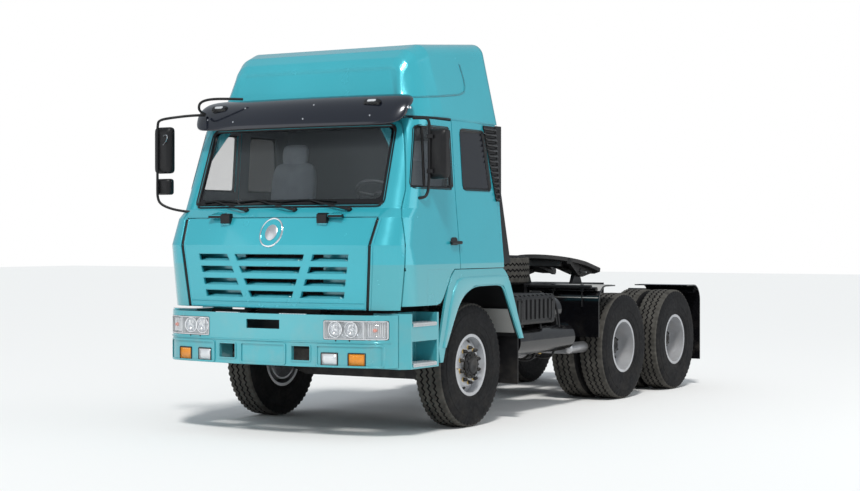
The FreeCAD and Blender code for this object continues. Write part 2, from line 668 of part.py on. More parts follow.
def rear_springs():
    half_base = d.bogie_spacing / 2 + d.beam_half
    seat = hub_z + d.housing_radius
    mid = 3 * d.beam_half
    pad = 3 * d.beam_half
    section = [
        (bogie - half_base, seat), (bogie - half_base + pad, seat), (bogie - mid, seat - 55),
        (bogie + mid, seat - 55), (bogie + half_base - pad, seat), (bogie + half_base, seat),
        (bogie + half_base, seat + 30), (bogie + mid, seat + 85), (bogie - mid, seat + 85),
        (bogie - half_base, seat + 30),
    ]
    near = d.rear_spring_reach - d.spring_half
    far = d.rear_spring_reach + d.spring_half
    pieces = []
    for side in (-1, 1):
        low, high = sided(side, near, far)
        tag = "_%d" % (side + 1)
        pieces.append(plate("rear_spring" + tag, "XZ", section, low, high))
        pieces.append(block("saddle" + tag, (bogie - mid, bogie + mid), (low, high), (d.trunnion_z, seat)))
        pieces.append(block("trunnion_bracket" + tag, (bogie - mid, bogie + mid), sided(side,
                                                            d.rail_reach, far),
                            (seat + 40, rail_top - 60)))
    pieces.append(rod("trunnion_tube", "Y", (bogie, -far, d.trunnion_z), 2 * far, d.trunnion_radius))
    node("rear_springs", fused("rear_springs", pieces))


# Side equipment, each piece held by brackets against the rail's web
def bracket(name, side, x, far, z):
    """A bracket from the outside of a rail out to a reach."""
    return block(name, (x, x + d.strap_wide), sided(side, d.rail_reach, far), (z, z + d.strap_wide))


def side_equipment():
    box = block("battery_case", (axle + d.battery_rear, axle + d.battery_front), (d.battery_in,
                                                            d.battery_out),
                (d.battery_low, d.battery_high))
    pieces = [box]
    for index, x in enumerate((d.battery_rear + 100, d.battery_front - 160)):
        pieces.append(bracket("battery_bracket_%d" % index, 1, axle + x, d.battery_in + 20,
                              d.battery_low + 50))
    node("battery_box", fused("battery_box", pieces))

    long_tank = [rod("long_tank", "X", (axle + d.tank_rear, d.tank_y, d.tank_z), d.tank_front - d.tank_rear,
                     d.tank_radius)]
    for index, x in enumerate((d.tank_rear + 200, d.tank_front - 260)):
        long_tank.append(bracket("tank_bracket_%d" % index, 1, axle + x, d.tank_y,
                                 d.tank_z + d.tank_radius - d.strap_wide + 5))
    short_length = d.battery_rear - 20 - d.small_tank_rear
    short_tank = [
        rod("short_tank", "X", (axle + d.small_tank_rear, d.small_tank_y, d.small_tank_z), short_length,
            d.small_tank_radius),
        bracket("short_tank_bracket", 1, axle + d.small_tank_rear + short_length / 2, d.small_tank_y,
                d.small_tank_z - d.strap_wide / 2),
    ]
    node("air_tanks", together("air_tanks", [fused("long_air_tank", long_tank), fused("short_air_tank",
                                                            short_tank)]))

    bend_x = d.tank_rear - 90
    pieces = [
        rod("silencer", "X", (axle + d.silencer_rear, d.silencer_y, d.silencer_z),
            d.silencer_front - d.silencer_rear, d.silencer_radius),
        rod("silencer_outlet", "X", (axle + bend_x, d.silencer_y, d.tailpipe_z),
            d.silencer_rear - bend_x + 20,
            d.tailpipe_radius),
        rod("crossing_pipe", "Y", (axle + bend_x, d.silencer_y, d.tailpipe_z), d.tailpipe_y - d.silencer_y,
            d.tailpipe_radius),
        rod("tailpipe", "X", (axle + d.tailpipe_end, d.tailpipe_y, d.tailpipe_z), bend_x - d.tailpipe_end,
            d.tailpipe_radius),
    ]
    for index, y in enumerate((d.silencer_y, d.tailpipe_y)):
        elbow = doc.addObject("Part::Sphere", "pipe_elbow_%d" % index)
        bind(elbow, "Radius", d.tailpipe_radius)
        move(elbow, axle + bend_x, y, d.tailpipe_z)
        pieces.append(elbow)
    for index, x in enumerate((d.silencer_rear + 150, d.silencer_front - 210)):
        name = "silencer_strap_%d" % index
        pieces.append(block(name, (axle + x, axle + x + d.strap_wide), (d.rail_reach, d.silencer_y),
                            (d.silencer_z + d.silencer_radius - 40, d.silencer_z + d.silencer_radius + 70)))
    node("exhaust", fused("exhaust", pieces))

    low = d.fuel_low
    high = d.fuel_high
    bend = d.fuel_round
    section = [
        (-d.fuel_out + bend, low), (-d.fuel_in - bend, low, bend), (-d.fuel_in, low + bend),
        (-d.fuel_in, high - bend, bend), (-d.fuel_in - bend, high), (-d.fuel_out + bend, high, bend),
        (-d.fuel_out, high - bend), (-d.fuel_out, low + bend, bend),
    ]
    pieces = [plate("fuel_shell", "YZ", section, axle + d.fuel_rear, axle + d.fuel_front)]
    for index, x in enumerate((d.fuel_rear + 150, d.fuel_front - 210)):
        pieces.append(bracket("fuel_bracket_%d" % index, -1, axle + x, d.fuel_in + 10, high - 2 * bend))
    node("fuel_tank", fused("fuel_tank", pieces))


# Spare wheel, lying flat on bars across the rails behind the cab
def spare_wheel():
    x = axle + d.spare_x
    middle = d.spare_low + d.tyre_width / 2
    node("spare_tyre", tyre("spare_tyre", (x, 0, middle), upright=True))
    barrel = d.rim_seat_radius - d.rim_wall
    flange = d.bead_half + d.flange_thick
    profile = [
        (0, -40), (d.disc_ring, -40), (barrel, -10), (barrel, -flange), (d.rim_flange_radius, -flange),
        (d.rim_flange_radius, -d.bead_half), (d.rim_seat_radius, -d.bead_half), (d.rim_seat_radius,
                                                            d.bead_half),
        (d.rim_flange_radius, d.bead_half), (d.rim_flange_radius, flange), (barrel, flange), (barrel, 10),
        (d.disc_ring, -20), (0, -20),
    ]
    rim = turned("spare_rim", profile, (x, 0, middle), upright=True)
    bar = d.carrier_bar
    pieces = [rim, rod("spare_post", "Z", (x, 0, rail_top + 20), middle - 30 - rail_top - 20, bar)]
    for index, place in enumerate((x - d.carrier_half, x + d.carrier_half - bar)):
        pieces.append(block("spare_bar_%d" % index, (place, place + bar), (-rail_inside, rail_inside),
                            (rail_top, d.spare_low)))
    pieces.append(block("spare_beam", (x - d.carrier_half, x + d.carrier_half), (-bar / 2, bar / 2),
                        (rail_top, rail_top + bar)))
    node("spare_carrier", fused("spare_carrier", pieces))


# Fifth wheel: the base on the frame and the plate that rocks on it
def coupling():
    x = bogie + d.coupling_ahead
    reach = d.mount_reach
    length = d.mount_half_length
    pieces = [block("mount_plate", (x - length, x + length), (-reach, reach), (d.mount_plate_low,
                                                            d.mount_plate_high))]
    pin = d.coupling_axle_z
    ear_in = d.coupling_ear_reach
    foot = 4 * d.coupling_pin
    for side in (-1, 1):
        tag = "_%d" % (side + 1)
        pieces.append(block("mount_angle" + tag, (x - length, x + length), sided(side, reach - 60, reach),
                            (rail_top, d.mount_plate_low)))
        low, high = sided(side, ear_in - d.pedestal_thick, ear_in)
        sides = [
            (x - foot, d.mount_plate_high), (x + foot, d.mount_plate_high), (x + d.coupling_pin, pin + 36),
            (x - d.coupling_pin, pin + 36),
        ]
        pieces.append(plate("pedestal" + tag, "XZ", sides, low, high))
        near, far = sided(side, ear_in, ear_in + d.skirt_thick + 10)
        pieces.append(rod("coupling_pin" + tag, "Y", (x, near, pin), far - near, d.coupling_pin))
    node("fifth_wheel_base", fused("fifth_wheel_base", pieces))

    half = d.coupling_half
    top = d.coupling_top - pin
    jaw = 90
    plan = [
        (0, -half, half), (0, half), (-half * 0.72, half), (-half, half * 0.72), (-half,
                                                            jaw * 1.7), (-jaw, jaw / 2),
        (-jaw, -jaw / 2), (-half, -jaw * 1.7), (-half, -half * 0.72), (-half * 0.72, -half),
    ]
    plan[0] = (0, -half, half + 1)
    pieces = [plate("coupling_plate", "XY", plan, top - d.coupling_plate, top)]
    rib_low = top - d.coupling_drop
    pieces.append(block("front_rib", (half * 0.55, half * 0.55 + d.skirt_thick), (-half * 0.6, half * 0.6),
                        (rib_low, top - 5)))
    holes = []
    for side in (-1, 1):
        tag = "_%d" % (side + 1)
        low, high = sided(side, ear_in + 3, ear_in + 3 + d.skirt_thick)
        pieces.append(plate("coupling_ear" + tag, "XZ",
                            [(-half * 0.6, rib_low + 30), (-60, -50), (60, -50), (half * 0.6, rib_low + 30),
                             (half * 0.6, top - 5), (-half * 0.6, top - 5)], low, high))
        holes.append(rod("ear_hole" + tag, "Y", (0, low - 5, 0), d.skirt_thick + 10,
                         d.coupling_pin + d.spindle_play))
        wing = sided(side, jaw, jaw + d.skirt_thick)
        pieces.append(block("rear_rib" + tag, (-half * 0.7, half * 0.56), wing, (rib_low + 20, top - 5)))
    holes.append(rod("kingpin_hole", "Z", (0, 0, rib_low - 10), d.coupling_drop + 40, d.kingpin_hole))
    table = cut("fifth_wheel_plate", fused("coupling_table", pieces), fused("coupling_holes", holes))
    table.Placement = FreeCAD.Placement(V(), FreeCAD.Rotation(V(0, -1, 0), d.coupling_tilt.value))
    bind(table, "Placement.Rotation.Angle", d.coupling_tilt)
    move(table, x, 0, pin)
    node("fifth_wheel_plate", table)


# Rear mudguards on their tubes
def rear_guards():
    near = d.guard_in
    far = d.guard_out
    sheet = d.guard_sheet
    bend = d.guard_bend
    tube = d.guard_tube
    slant = math.sqrt(0.5)
    front = rear_axle + d.guard_ahead
    top = d.guard_top
    section = [
        (front - bend - d.guard_top_run, top - sheet), (front - bend, top - sheet, sheet - bend),
        (front - sheet, top - bend), (front - sheet, d.guard_low), (front, d.guard_low), (front,
                                                            top - bend, bend),
        (front - bend, top), (front - bend - d.guard_top_run, top),
    ]
    tube_x = front - bend + (bend + tube - 3) * slant
    tube_z = top - bend + (bend + tube - 3) * slant
    first = [
        plate("front_guard_sheet", "XZ", section, near, far),
        rod("front_guard_tube", "Y", (tube_x, d.rail_reach - 70, tube_z), far - 40 - d.rail_reach + 70,
            tube),
        block("front_guard_foot", (tube_x - tube, tube_x + tube), (d.rail_reach - 70, d.rail_reach - 10),
              (rail_top, tube_z)),
    ]
    back = last_axle - d.tail_guard_behind
    top = d.tail_guard_top
    section = [
        (back + bend + d.guard_top_run, top), (back + bend, top, bend), (back, top - bend), (back,
                                                            d.tail_guard_low),
        (back + sheet, d.tail_guard_low), (back + sheet, top - bend, sheet - bend), (back + bend,
                                                            top - sheet),
        (back + bend + d.guard_top_run, top - sheet),
    ]
    tube_x = back + bend - (bend - sheet - tube + 3) * slant
    tube_z = top - bend + (bend - sheet - tube + 3) * slant
    second = [
        plate("tail_guard_sheet", "XZ", section, near, far),
        rod("tail_guard_tube", "Y", (tube_x, d.rail_reach - 70, tube_z), far - 40 - d.rail_reach + 70,
            tube),
        block("tail_guard_foot", (tube_x - tube, tube_x + tube), (d.rail_reach - 70, d.rail_reach - 10),
              (rail_top, tube_z + 10)),
    ]
    left = [fused("front_guard", first), fused("tail_guard", second)]
    right = [mirrored("right_%s" % piece.Name, piece) for piece in left]
    node("rear_mudguards", together("rear_mudguards", left + right))


# Bumper, lamps, steps and front fenders
def bumper_band(name, depth, low, high):
    """The bumper's bent front, of a given depth, between two heights."""
    end_x = axle + d.bumper_end_x
    turn_x = axle + d.bumper_corner_x
    end = d.bumper_end_curve
    curve = d.bumper_curve
    inner_end = d.bumper_end_y - depth * 1.3
    inner_turn = d.bumper_corner_y - depth / 4
    points = [
        (end_x, -d.bumper_end_y, end), (turn_x, -d.bumper_corner_y, curve), (turn_x, d.bumper_corner_y,
                                                            end),
        (end_x, d.bumper_end_y), (end_x, inner_end, depth - end), (turn_x - depth, inner_turn,
                                                            depth - curve),
        (turn_x - depth, -inner_turn, depth - end), (end_x, -inner_end),
    ]
    return plate(name, "XY", points, low, high)


def window_pair(name, near, far, low, high):
    """Two boxes through the bumper's front, left and right."""
    pieces = []
    for side in (-1, 1):
        pieces.append(block("%s_%d" % (name, side + 1), (axle + d.bumper_end_x - 20,
                                                         axle + d.front_overhang + 50),
                            sided(side, near, far), (low, high)))
    return together(name, pieces)


def bumper_and_lamps():
    low = d.bumper_low
    high = d.bumper_high
    thick = d.bumper_flange_thick
    pieces = [
        bumper_band("bumper_face", d.bumper_wall, low, high),
        bumper_band("bumper_top", d.bumper_flange, high - thick, high),
        bumper_band("bumper_bottom", 2 * d.bumper_flange, low, low + thick),
    ]
    for side in (-1, 1):
        pieces.append(block("bumper_arm_%d" % (side + 1),
                            (axle + d.rail_front, axle + d.front_overhang - 2 * d.bumper_wall),
                            sided(side, d.bumper_arm_in, d.bumper_arm_in + 60), (d.bumper_arm_low,
                                                            d.bumper_arm_high)))
    openings = [
        window_pair("lamp_room", d.lamp_in, d.lamp_out, d.lamp_low, d.lamp_high),
        window_pair("clear_fog_room", d.clear_fog_in, d.clear_fog_out, d.fog_low, d.fog_high),
        window_pair("amber_fog_room", d.amber_fog_in, d.amber_fog_out, d.fog_low, d.fog_high),
        window_pair("tow_room", d.tow_in, d.tow_out, d.tow_low, d.tow_high),
        block("number_room", (axle + d.bumper_end_x, axle + d.front_overhang + 50), (-d.plate_half,
                                                            d.plate_half),
              (d.plate_low, d.plate_high)),
    ]
    node("bumper", cut("bumper", fused("bumper_shell", pieces), fused("bumper_openings", openings)))
    lamps = [
        shared("headlamps", bumper_band("headlamp_body", d.lamp_deep, d.lamp_low, d.lamp_high),
               openings[0]),
        shared("clear_fogs", bumper_band("clear_fog_body", d.fog_deep, d.fog_low, d.fog_high), openings[1]),
        shared("amber_fogs", bumper_band("amber_fog_body", d.fog_deep, d.fog_low, d.fog_high), openings[2]),
    ]
    for side in (-1, 1):
        far = d.tail_reach - 40
        lamps.append(block("tail_lamp_%d" % (side + 1), (tail, tail + d.tail_lamp_thick),
                           sided(side, far - d.tail_lamp_wide, far), (d.tail_low + 5, d.tail_high - 5)))
    node("lamps", together("lamps", lamps))


def steps():
    plan = [
        (axle + d.step_front, d.step_in), (axle + d.step_front, d.step_front_reach),
        (axle + d.step_front_turn, d.step_reach), (axle + d.step_rear, d.step_reach), (axle + d.step_rear,
                                                            d.step_in),
    ]
    box = plate("step_case", "XY", plan, d.step_low, d.step_high)
    room_x = (axle + d.niche_rear, axle + d.niche_front)
    room_y = (d.niche_in, d.step_reach + 50)
    upper = block("upper_niche", room_x, room_y, (d.upper_tread_z, d.step_high + 50))
    lower = block("lower_niche", room_x, room_y, (d.lower_tread_z, d.lower_niche_top))
    carved = cut("step_shell", box, fused("step_niches", [upper, lower]))
    tread_y = (d.niche_in, d.step_reach + 2)
    pieces = [
        carved,
        block("upper_tread", room_x, tread_y, (d.upper_tread_z, d.upper_tread_z + d.tread_thick)),
        block("lower_tread", room_x, tread_y, (d.lower_tread_z, d.lower_tread_z + d.tread_thick)),
        block("step_bracket", (axle + d.step_rear + 40, axle + d.step_rear + 100), (d.rail_reach,
                                                            d.step_in),
              (d.rail_bottom + 40, d.rail_bottom + 120)),
    ]
    node("step_boxes", both_sides("step_boxes", fused("step_box", pieces)))


def fenders():
    reach = d.fender_reach
    face = [
        (axle + 656, 612), (axle + 700, 612), (axle + 730, 734), (axle + 644, 1026), (axle + 600, 1160),
        (axle + 566, 1246), (axle + 508, 1343), (axle + 454, d.fender_top), (axle - 400, d.fender_top),
        (axle - 450, d.fender_top - 30), (axle - 500, 1314), (axle - 800, 745), (axle - 728, 745),
        (axle - 544, 1023), (axle - 405, 1235), (axle - 385, 1246), (axle + 130, 1243, -760), (axle + 612,
                                                            735),
    ]
    skin = plate("fender_face", "XZ", face, reach - d.fender_sheet, reach)
    top = block("fender_lid", (axle - 400, axle + 450), (d.fender_in, reach), (d.fender_top - 16,
                                                            d.fender_top))
    fender = fused("front_fender", [skin, top])
    node("front_fenders", both_sides("front_fenders", fender))
    liner = [
        (axle + 500, 1125), (axle + 512, 1133), (axle + 230, 1290), (axle - 410, 1290), (axle - 735, 765),
        (axle - 735, 330), (axle - 723, 330), (axle - 723, 760), (axle - 403, 1278), (axle + 226, 1278),
    ]
    sheet = plate("liner_sheet", "XZ", liner, d.guard_in, reach - d.fender_sheet)
    post = block("liner_post", (axle - 350, axle - 300), (d.guard_in - 50, d.guard_in), (950, 1284))
    hook = block("liner_hook", (axle - 350, axle - 300), (d.guard_in - 52, d.guard_in + 30), (1279, 1289))
    arm = block("liner_arm", (axle - 350, axle - 300), (d.rail_reach, d.guard_in), (950, 1000))
    node("fender_liners", both_sides("fender_liners", fused("fender_liner", [sheet, post, hook, arm])))


# Cab hull: levels of one closed outline, from which every panel is cut
LEVELS = [
    (d.sill_z, d.sill_half, d.sill_nose, d.sill_corner),
    (d.crease_z, d.crease_half, d.crease_nose, d.crease_corner),
    (d.brow_z, d.brow_half, d.brow_nose, d.brow_corner),
    (d.lid_top_z, d.lid_top_half, d.lid_top_nose, d.lid_top_corner),
    (d.cowl_z, d.cowl_half, d.cowl_nose, d.cowl_corner),
    (d.belt_z, d.belt_half, d.belt_nose, d.belt_corner),
    (d.gutter_z, d.gutter_half, d.gutter_nose, d.gutter_corner),
]


def hull_outline(half, nose, corner, inset):
    """The plan of the cab at one level, moved in from the outside by an inset."""
    curve = d.nose_curve - inset
    inner_corner = corner - inset
    straight = half - corner
    sag = d.nose_curve - root(d.nose_curve * d.nose_curve - straight * straight)
    rear = axle + d.cab_rear + inset
    edge = axle + nose - inset - sag
    side = half - inset
    return [
        (rear, -side), (edge - inner_corner, -side, inner_corner), (edge, -straight, curve),
        (edge, straight, inner_corner), (edge - inner_corner, side), (rear, side),
    ]


def beyond(level, neighbour, rise):
    """A level carried on past the end of the hull by a rise, on the line from its neighbour."""
    share = rise / (level[0] - neighbour[0])
    return tuple(size + (size - other) * share for size, other in zip(level, neighbour))


def hull(name, inset, extra):
    """The cab's outer form moved in by an inset, and carried on at both ends by an extra height."""
    foot = beyond(LEVELS[0], LEVELS[1], lift(extra) * -1)
    head = beyond(LEVELS[-1], LEVELS[-2], lift(extra))
    levels = [foot] + list(LEVELS[1:-1]) + [head]
    sections = [(z, hull_outline(half, nose, corner, inset)) for z, half, nose, corner in levels]
    return lofted(name, "XY", sections)


def door_seam(shift):
    """The door's front edge from the sill to the gutter, moved forward by a shift."""
    return [
        (axle + d.door_front_low + shift, d.brow_z), (axle + d.door_front_lid + shift, d.lid_top_z),
        (axle + d.door_front_cowl + shift, d.cowl_z), (axle + d.door_front_belt + shift, d.belt_z),
        (axle + d.door_front_top + shift, d.door_top),
    ]


def side_window(name, corners, low_y):
    """A prism through the left side with the given corners."""
    return plate(name, "XZ", corners, low_y, lift(1400))


def door_hinge_heights():
    return (("low", d.door_hinge_low), ("high", d.door_hinge_high))


def door_hinge_pins():
    """The left door's two pins, each on an arm from the post."""
    x = axle + d.door_hinge_x
    y = d.door_hinge_y
    arm_half = d.door_notch_half / 2
    pieces = []
    for word, z in door_hinge_heights():
        pin = rod("door_pin_" + word, "Z", (x, y, z - d.door_pin_half), 2 * d.door_pin_half, d.door_pin)
        eye = rod("door_pin_eye_" + word, "Z", (x, y, z - arm_half), 2 * arm_half, d.door_arm)
        arm = plate("door_pin_arm_" + word, "XY", [
            (x - arm_half, y), (axle + d.post_rear + 2, d.post_out - 10),
            (axle + d.post_rear + 2 + 2 * d.door_arm, d.post_out - 10), (x + arm_half, y),
        ], z - arm_half, z + arm_half)
        pieces.append(fused("door_hinge_" + word, [pin, eye, arm]))
    return pieces


def door_hinge_rooms():
    """What is cut from the left door for its pins and their arms."""
    x = axle + d.door_hinge_x
    y = d.door_hinge_y
    reach = d.door_arm + 2
    pieces = []
    for word, z in door_hinge_heights():
        half = d.door_pin_half + 1
        height = (z - d.door_notch_half, z + d.door_notch_half)
        pieces.append(rod("door_bore_" + word, "Z", (x, y, z - half), 2 * half, d.door_pin + d.hinge_play))
        pieces.append(block("door_notch_" + word, (x - reach, x + reach), (y - 90, y + reach), height))
        pieces.append(block("door_slot_" + word, (x, axle + d.door_front_low + 5), (y - 110,
                                                            y + reach - 4), height))
    return pieces


def lid_hinge_brackets():
    """The left bracket on the cowl that carries the lid's pin."""
    x = axle + d.lid_hinge_x
    z = d.lid_hinge_z
    near = d.lid_hinge_middle + 4
    far = d.lid_hinge_out
    pin = rod("lid_pin", "Y", (x, d.lid_hinge_in, z), far - d.lid_hinge_in, d.lid_pin)
    barrel = rod("lid_pin_barrel", "Y", (x, near, z), far - near, d.lid_barrel)
    arm = plate("lid_pin_arm", "XZ", [
        (axle + d.cowl_nose + 11, z + 5), (x, z - d.lid_barrel + 1), (x, z + d.lid_barrel - 1),
        (axle + d.cowl_nose - 17, z + 41),
    ], near + 10, far - 10)
    return [fused("lid_bracket", [pin, barrel, arm])]


def lid_hinge_leaf():
    """The left leaf that joins the lid to its pin."""
    x = axle + d.lid_hinge_x
    z = d.lid_hinge_z
    barrel = rod("lid_leaf_barrel", "Y", (x, d.lid_hinge_in, z), d.lid_hinge_middle - d.lid_hinge_in,
                 d.lid_barrel)
    leaf = plate("lid_leaf_plate", "XZ", [
        (x - 36, z - 21), (x - 12, z - 73), (x + d.lid_barrel, z - 73), (x + d.lid_barrel, z),
        (x - 12, z - 5), (x - 22, z - 17),
    ], d.lid_hinge_in, d.lid_hinge_middle)
    return fused("lid_leaf", [barrel, leaf])


def lid_hinge_bore():
    """The bore for both pins through the lid's leaves."""
    reach = d.lid_hinge_middle + 20
    return rod("lid_bore", "Y", (axle + d.lid_hinge_x, -reach, d.lid_hinge_z), 2 * reach,
               d.lid_pin + d.hinge_play)


def cab():
    outer = hull("hull_outer", lift(0), lift(0))
    inner = hull("hull_inner", d.cab_wall, lift(40))
    shell = cut("cab_shell", outer, inner)
    glass = cut("glass_shell", hull("glass_outer", d.glass_set_in, lift(20)),
                hull("glass_inner", d.glass_set_in + d.glass_thick, lift(60)))
    gap = d.panel_gap

    # doors
    door_area = plate("door_area", "XZ", [
        (axle + d.door_front_low, d.door_low)] + door_seam(0) + [
        (axle + d.door_rear, d.door_top), (axle + d.door_rear, d.door_arch_z), (axle + d.door_arch_x,
                                                            d.door_arch_z),
        (axle + d.door_hip_x, d.door_hip_z), (axle + d.door_knee_x, d.door_knee_z),
        (axle + d.door_bend_x, d.door_bend_z), (axle + d.door_heel_x, d.door_low),
    ], lift(500), lift(1400))
    door_window = side_window("door_window", [
        (axle + d.window_front_low, d.window_low), (axle + d.window_front_high, d.window_high),
        (axle + d.window_rear, d.window_high), (axle + d.window_rear, d.window_low),
    ], lift(500))
    door_rooms = fused("door_rooms", [door_window] + door_hinge_rooms())
    whole = cut("door_whole", shared("door_skin", shell, door_area), door_rooms)
    corner_room = block("door_corner_room", (axle + d.door_rear - 10, axle + d.door_corner_x),
                        (lift(500), lift(1400)), (d.door_low - 10, d.door_arch_z))
    door = together("door_left", [
        cut("door_panel", whole, corner_room), shared("door_corner", whole, corner_room)])
    pane = shared("door_glass_left", glass, door_window)
    node("door_left", door)
    node("door_right", mirrored("door_right", door))
    node("door_glass_left", pane)
    node("door_glass_right", mirrored("door_glass_right", pane))

    # side panels behind the doors, with the quarter windows
    wall_front = axle + d.cab_rear + d.cab_wall
    side_area = block("side_area", (wall_front, axle + d.door_rear - d.door_gap), (lift(500), lift(1400)),
                      (d.door_arch_z, d.gutter_z))
    quarter = side_window("quarter_window", [
        (axle + d.quarter_front, d.window_low), (axle + d.quarter_front, d.window_high),
        (axle + d.quarter_rear_high, d.window_high), (axle + d.quarter_rear_low, d.window_low),
    ], lift(500))
    side = cut("cab_side", shared("side_skin", shell, side_area), quarter)
    node("cab_sides", both_sides("cab_sides", side))
    quarter_pane = shared("quarter_glass", glass, quarter)

    # back wall with the notch for the engine tunnel
    back_area = block("back_area", (axle + d.cab_rear, wall_front), (lift(-1400), lift(1400)),
                      (d.door_arch_z, d.gutter_z))
    tunnel_in = d.tunnel_half - d.tunnel_wall
    notch = block("back_notch", (axle + d.cab_rear - 10, wall_front + 10), (-tunnel_in, tunnel_in),
                  (d.floor_low, d.tunnel_top - d.tunnel_wall))
    node("cab_back", cut("cab_back", shared("back_skin", outer, back_area), notch))

    # front: corners, cowl, pillars, header, and the bulkhead and posts behind the skin
    door_gap = d.door_gap
    seam = door_seam(door_gap)
    seam[-1] = (axle + d.door_front_top + door_gap, d.gutter_z)
    front_area = plate("front_area", "XZ", [(axle + d.door_front_low + door_gap, d.sill_z)] + seam + [
        (axle + d.front_overhang, d.gutter_z), (axle + d.front_overhang,
                                                d.sill_z)], lift(-1400), lift(1400))
    side_gap = d.lid_side_gap
    lid_room = plate("lid_room", "YZ", [
        (-d.lid_low_reach - side_gap, d.sill_z - 10), (d.lid_low_reach + side_gap, d.sill_z - 10),
        (d.lid_high_reach + side_gap, d.lid_top_z + gap), (-d.lid_high_reach - side_gap, d.lid_top_z + gap),
    ], axle + d.bulkhead_x + d.bulkhead_thick, axle + d.front_overhang + 50)
    screen_area = plate("screen_area", "YZ", [
        (-d.screen_low_reach, d.screen_low), (d.screen_low_reach, d.screen_low),
        (d.screen_high_reach, d.screen_high), (-d.screen_high_reach, d.screen_high),
    ], axle + d.door_front_top, axle + d.front_overhang)
    screen_room = shared("screen_room", screen_area, front_area)
    skin = cut("front_skin", shared("front_shell", shell, front_area), fused("front_rooms", [lid_room,
                                                            screen_room]))
    bulkhead = block("bulkhead", (axle + d.bulkhead_x, axle + d.bulkhead_x + d.bulkhead_thick),
                     (-d.post_in - 10, d.post_in + 10), (d.door_low, d.shelf_low + 10))
    opening = block("bulkhead_opening", (axle + d.bulkhead_x - 10,
                                         axle + d.bulkhead_x + d.bulkhead_thick + 10),
                    (-tunnel_in, tunnel_in), (d.door_low - 10, d.tunnel_top - d.tunnel_wall))
    pieces = [cut("bulkhead_frame", bulkhead, opening)]
    for side_sign in (-1, 1):
        pieces.append(block("door_post_%d" % (side_sign + 1), (axle + d.post_rear, axle + d.post_front),
                            sided(side_sign, d.post_in, d.post_out), (d.door_low, d.shelf_low + 10)))
    pieces.append(block("cowl_shelf", (axle + d.bulkhead_x, axle + d.lid_top_nose), (-d.post_out,
                                                            d.post_out),
                        (d.shelf_low, d.shelf_low + d.shelf_thick)))
    structure = shared("front_structure", fused("front_frame", pieces), outer)
    hinges = door_hinge_pins() + lid_hinge_brackets()
    mirrored_hinges = mirrored("right_hinges", together("left_hinges", hinges))
    node("cab_front", fused("cab_front", [skin, structure, mirrored_hinges] + hinges))
    windscreen = shared("windscreen", glass, screen_room)
    node("cab_glass", together("cab_glass", [windscreen, quarter_pane, mirrored("quarter_glass_right",
                                                            quarter_pane)]))

    # lid with its slots
    lid_area = plate("lid_area", "YZ", [
        (-d.lid_low_reach, d.sill_z), (d.lid_low_reach, d.sill_z),
        (d.lid_high_reach, d.lid_top_z), (-d.lid_high_reach, d.lid_top_z),
    ], axle + d.bulkhead_x + 10, axle + d.front_overhang + 50)
    lid_shell = cut("lid_shell", outer, hull("lid_inner", d.lid_thick, lift(40)))
    lid_skin = cut("lid_skin", shared("lid_sheet", lid_shell, lid_area), grille_slots())
    leaf = lid_hinge_leaf()
    leaves = fused("lid_with_leaves", [lid_skin, leaf, mirrored("lid_leaf_right", leaf)])
    node("front_lid", cut("front_lid", leaves, lid_hinge_bore()))

    # floor, riser and engine tunnel
    top = d.floor_thick
    rear = wall_front
    riser = axle + d.riser_x
    front = axle + d.bulkhead_x
    tunnel = d.tunnel_half
    wall = d.tunnel_wall
    pieces = [block("tunnel_roof", (rear, front), (-tunnel, tunnel), (d.tunnel_top - wall, d.tunnel_top))]
    for side_sign in (-1, 1):
        tag = "_%d" % (side_sign + 1)
        pieces.append(block("tunnel_rear" + tag, (rear, riser + top), sided(side_sign, tunnel - wall,
                                                            tunnel),
                            (d.floor_high, d.tunnel_top)))
        pieces.append(block("tunnel_front" + tag, (riser, front), sided(side_sign, tunnel - wall, tunnel),
                            (d.floor_low, d.tunnel_top)))
        pieces.append(block("front_floor" + tag, (riser, front), sided(side_sign, tunnel - wall,
                                                            d.floor_reach),
                            (d.floor_low, d.floor_low + top)))
        pieces.append(block("floor_riser" + tag, (riser, riser + top), sided(side_sign, tunnel - wall,
                                                            d.riser_reach),
                            (d.floor_low, d.floor_high + top)))
        rear_floor = block("rear_floor" + tag, (rear, axle + d.door_rear - d.door_gap - 5),
                           sided(side_sign, tunnel - wall, lift(1300)), (d.floor_high, d.floor_high + top))
        pieces.append(shared("rear_floor_fit" + tag, rear_floor, inner))
        pieces.append(block("step_floor" + tag, (axle + d.door_rear - d.door_gap - 30, riser + top),
                            sided(side_sign, tunnel - wall, d.riser_reach), (d.floor_high,
                                                            d.floor_high + top)))
        pieces.append(tilt_arm("tilt_arm" + tag, side_sign))
    floor = fused("floor_panels", pieces)
    holes = rod("pivot_holes", "Y", (axle + d.pivot_x, lift(-600), d.pivot_z), lift(1200),
                d.pivot_radius + d.pivot_play)
    node("cab_floor", cut("cab_floor", floor, holes))
    return outer, inner


def tilt_arm(name, side):
    """The cab's arm from its floor down and forward to the pivot tube."""
    half = d.arm_half
    post = axle + d.arm_rear
    pivot = axle + d.pivot_x
    profile = [
        (post, d.pivot_z - half), (pivot, d.pivot_z - half, half), (pivot, d.pivot_z + half),
        (post + d.arm_post, d.pivot_z + half), (post + d.arm_post, d.floor_low + 5), (post,
                                                            d.floor_low + 5),
    ]
    profile[1] = (pivot, d.pivot_z - half, half + 0.5)
    low, high = sided(side, d.arm_reach, d.arm_reach + d.arm_thick)
    return plate(name, "XZ", profile, low, high)


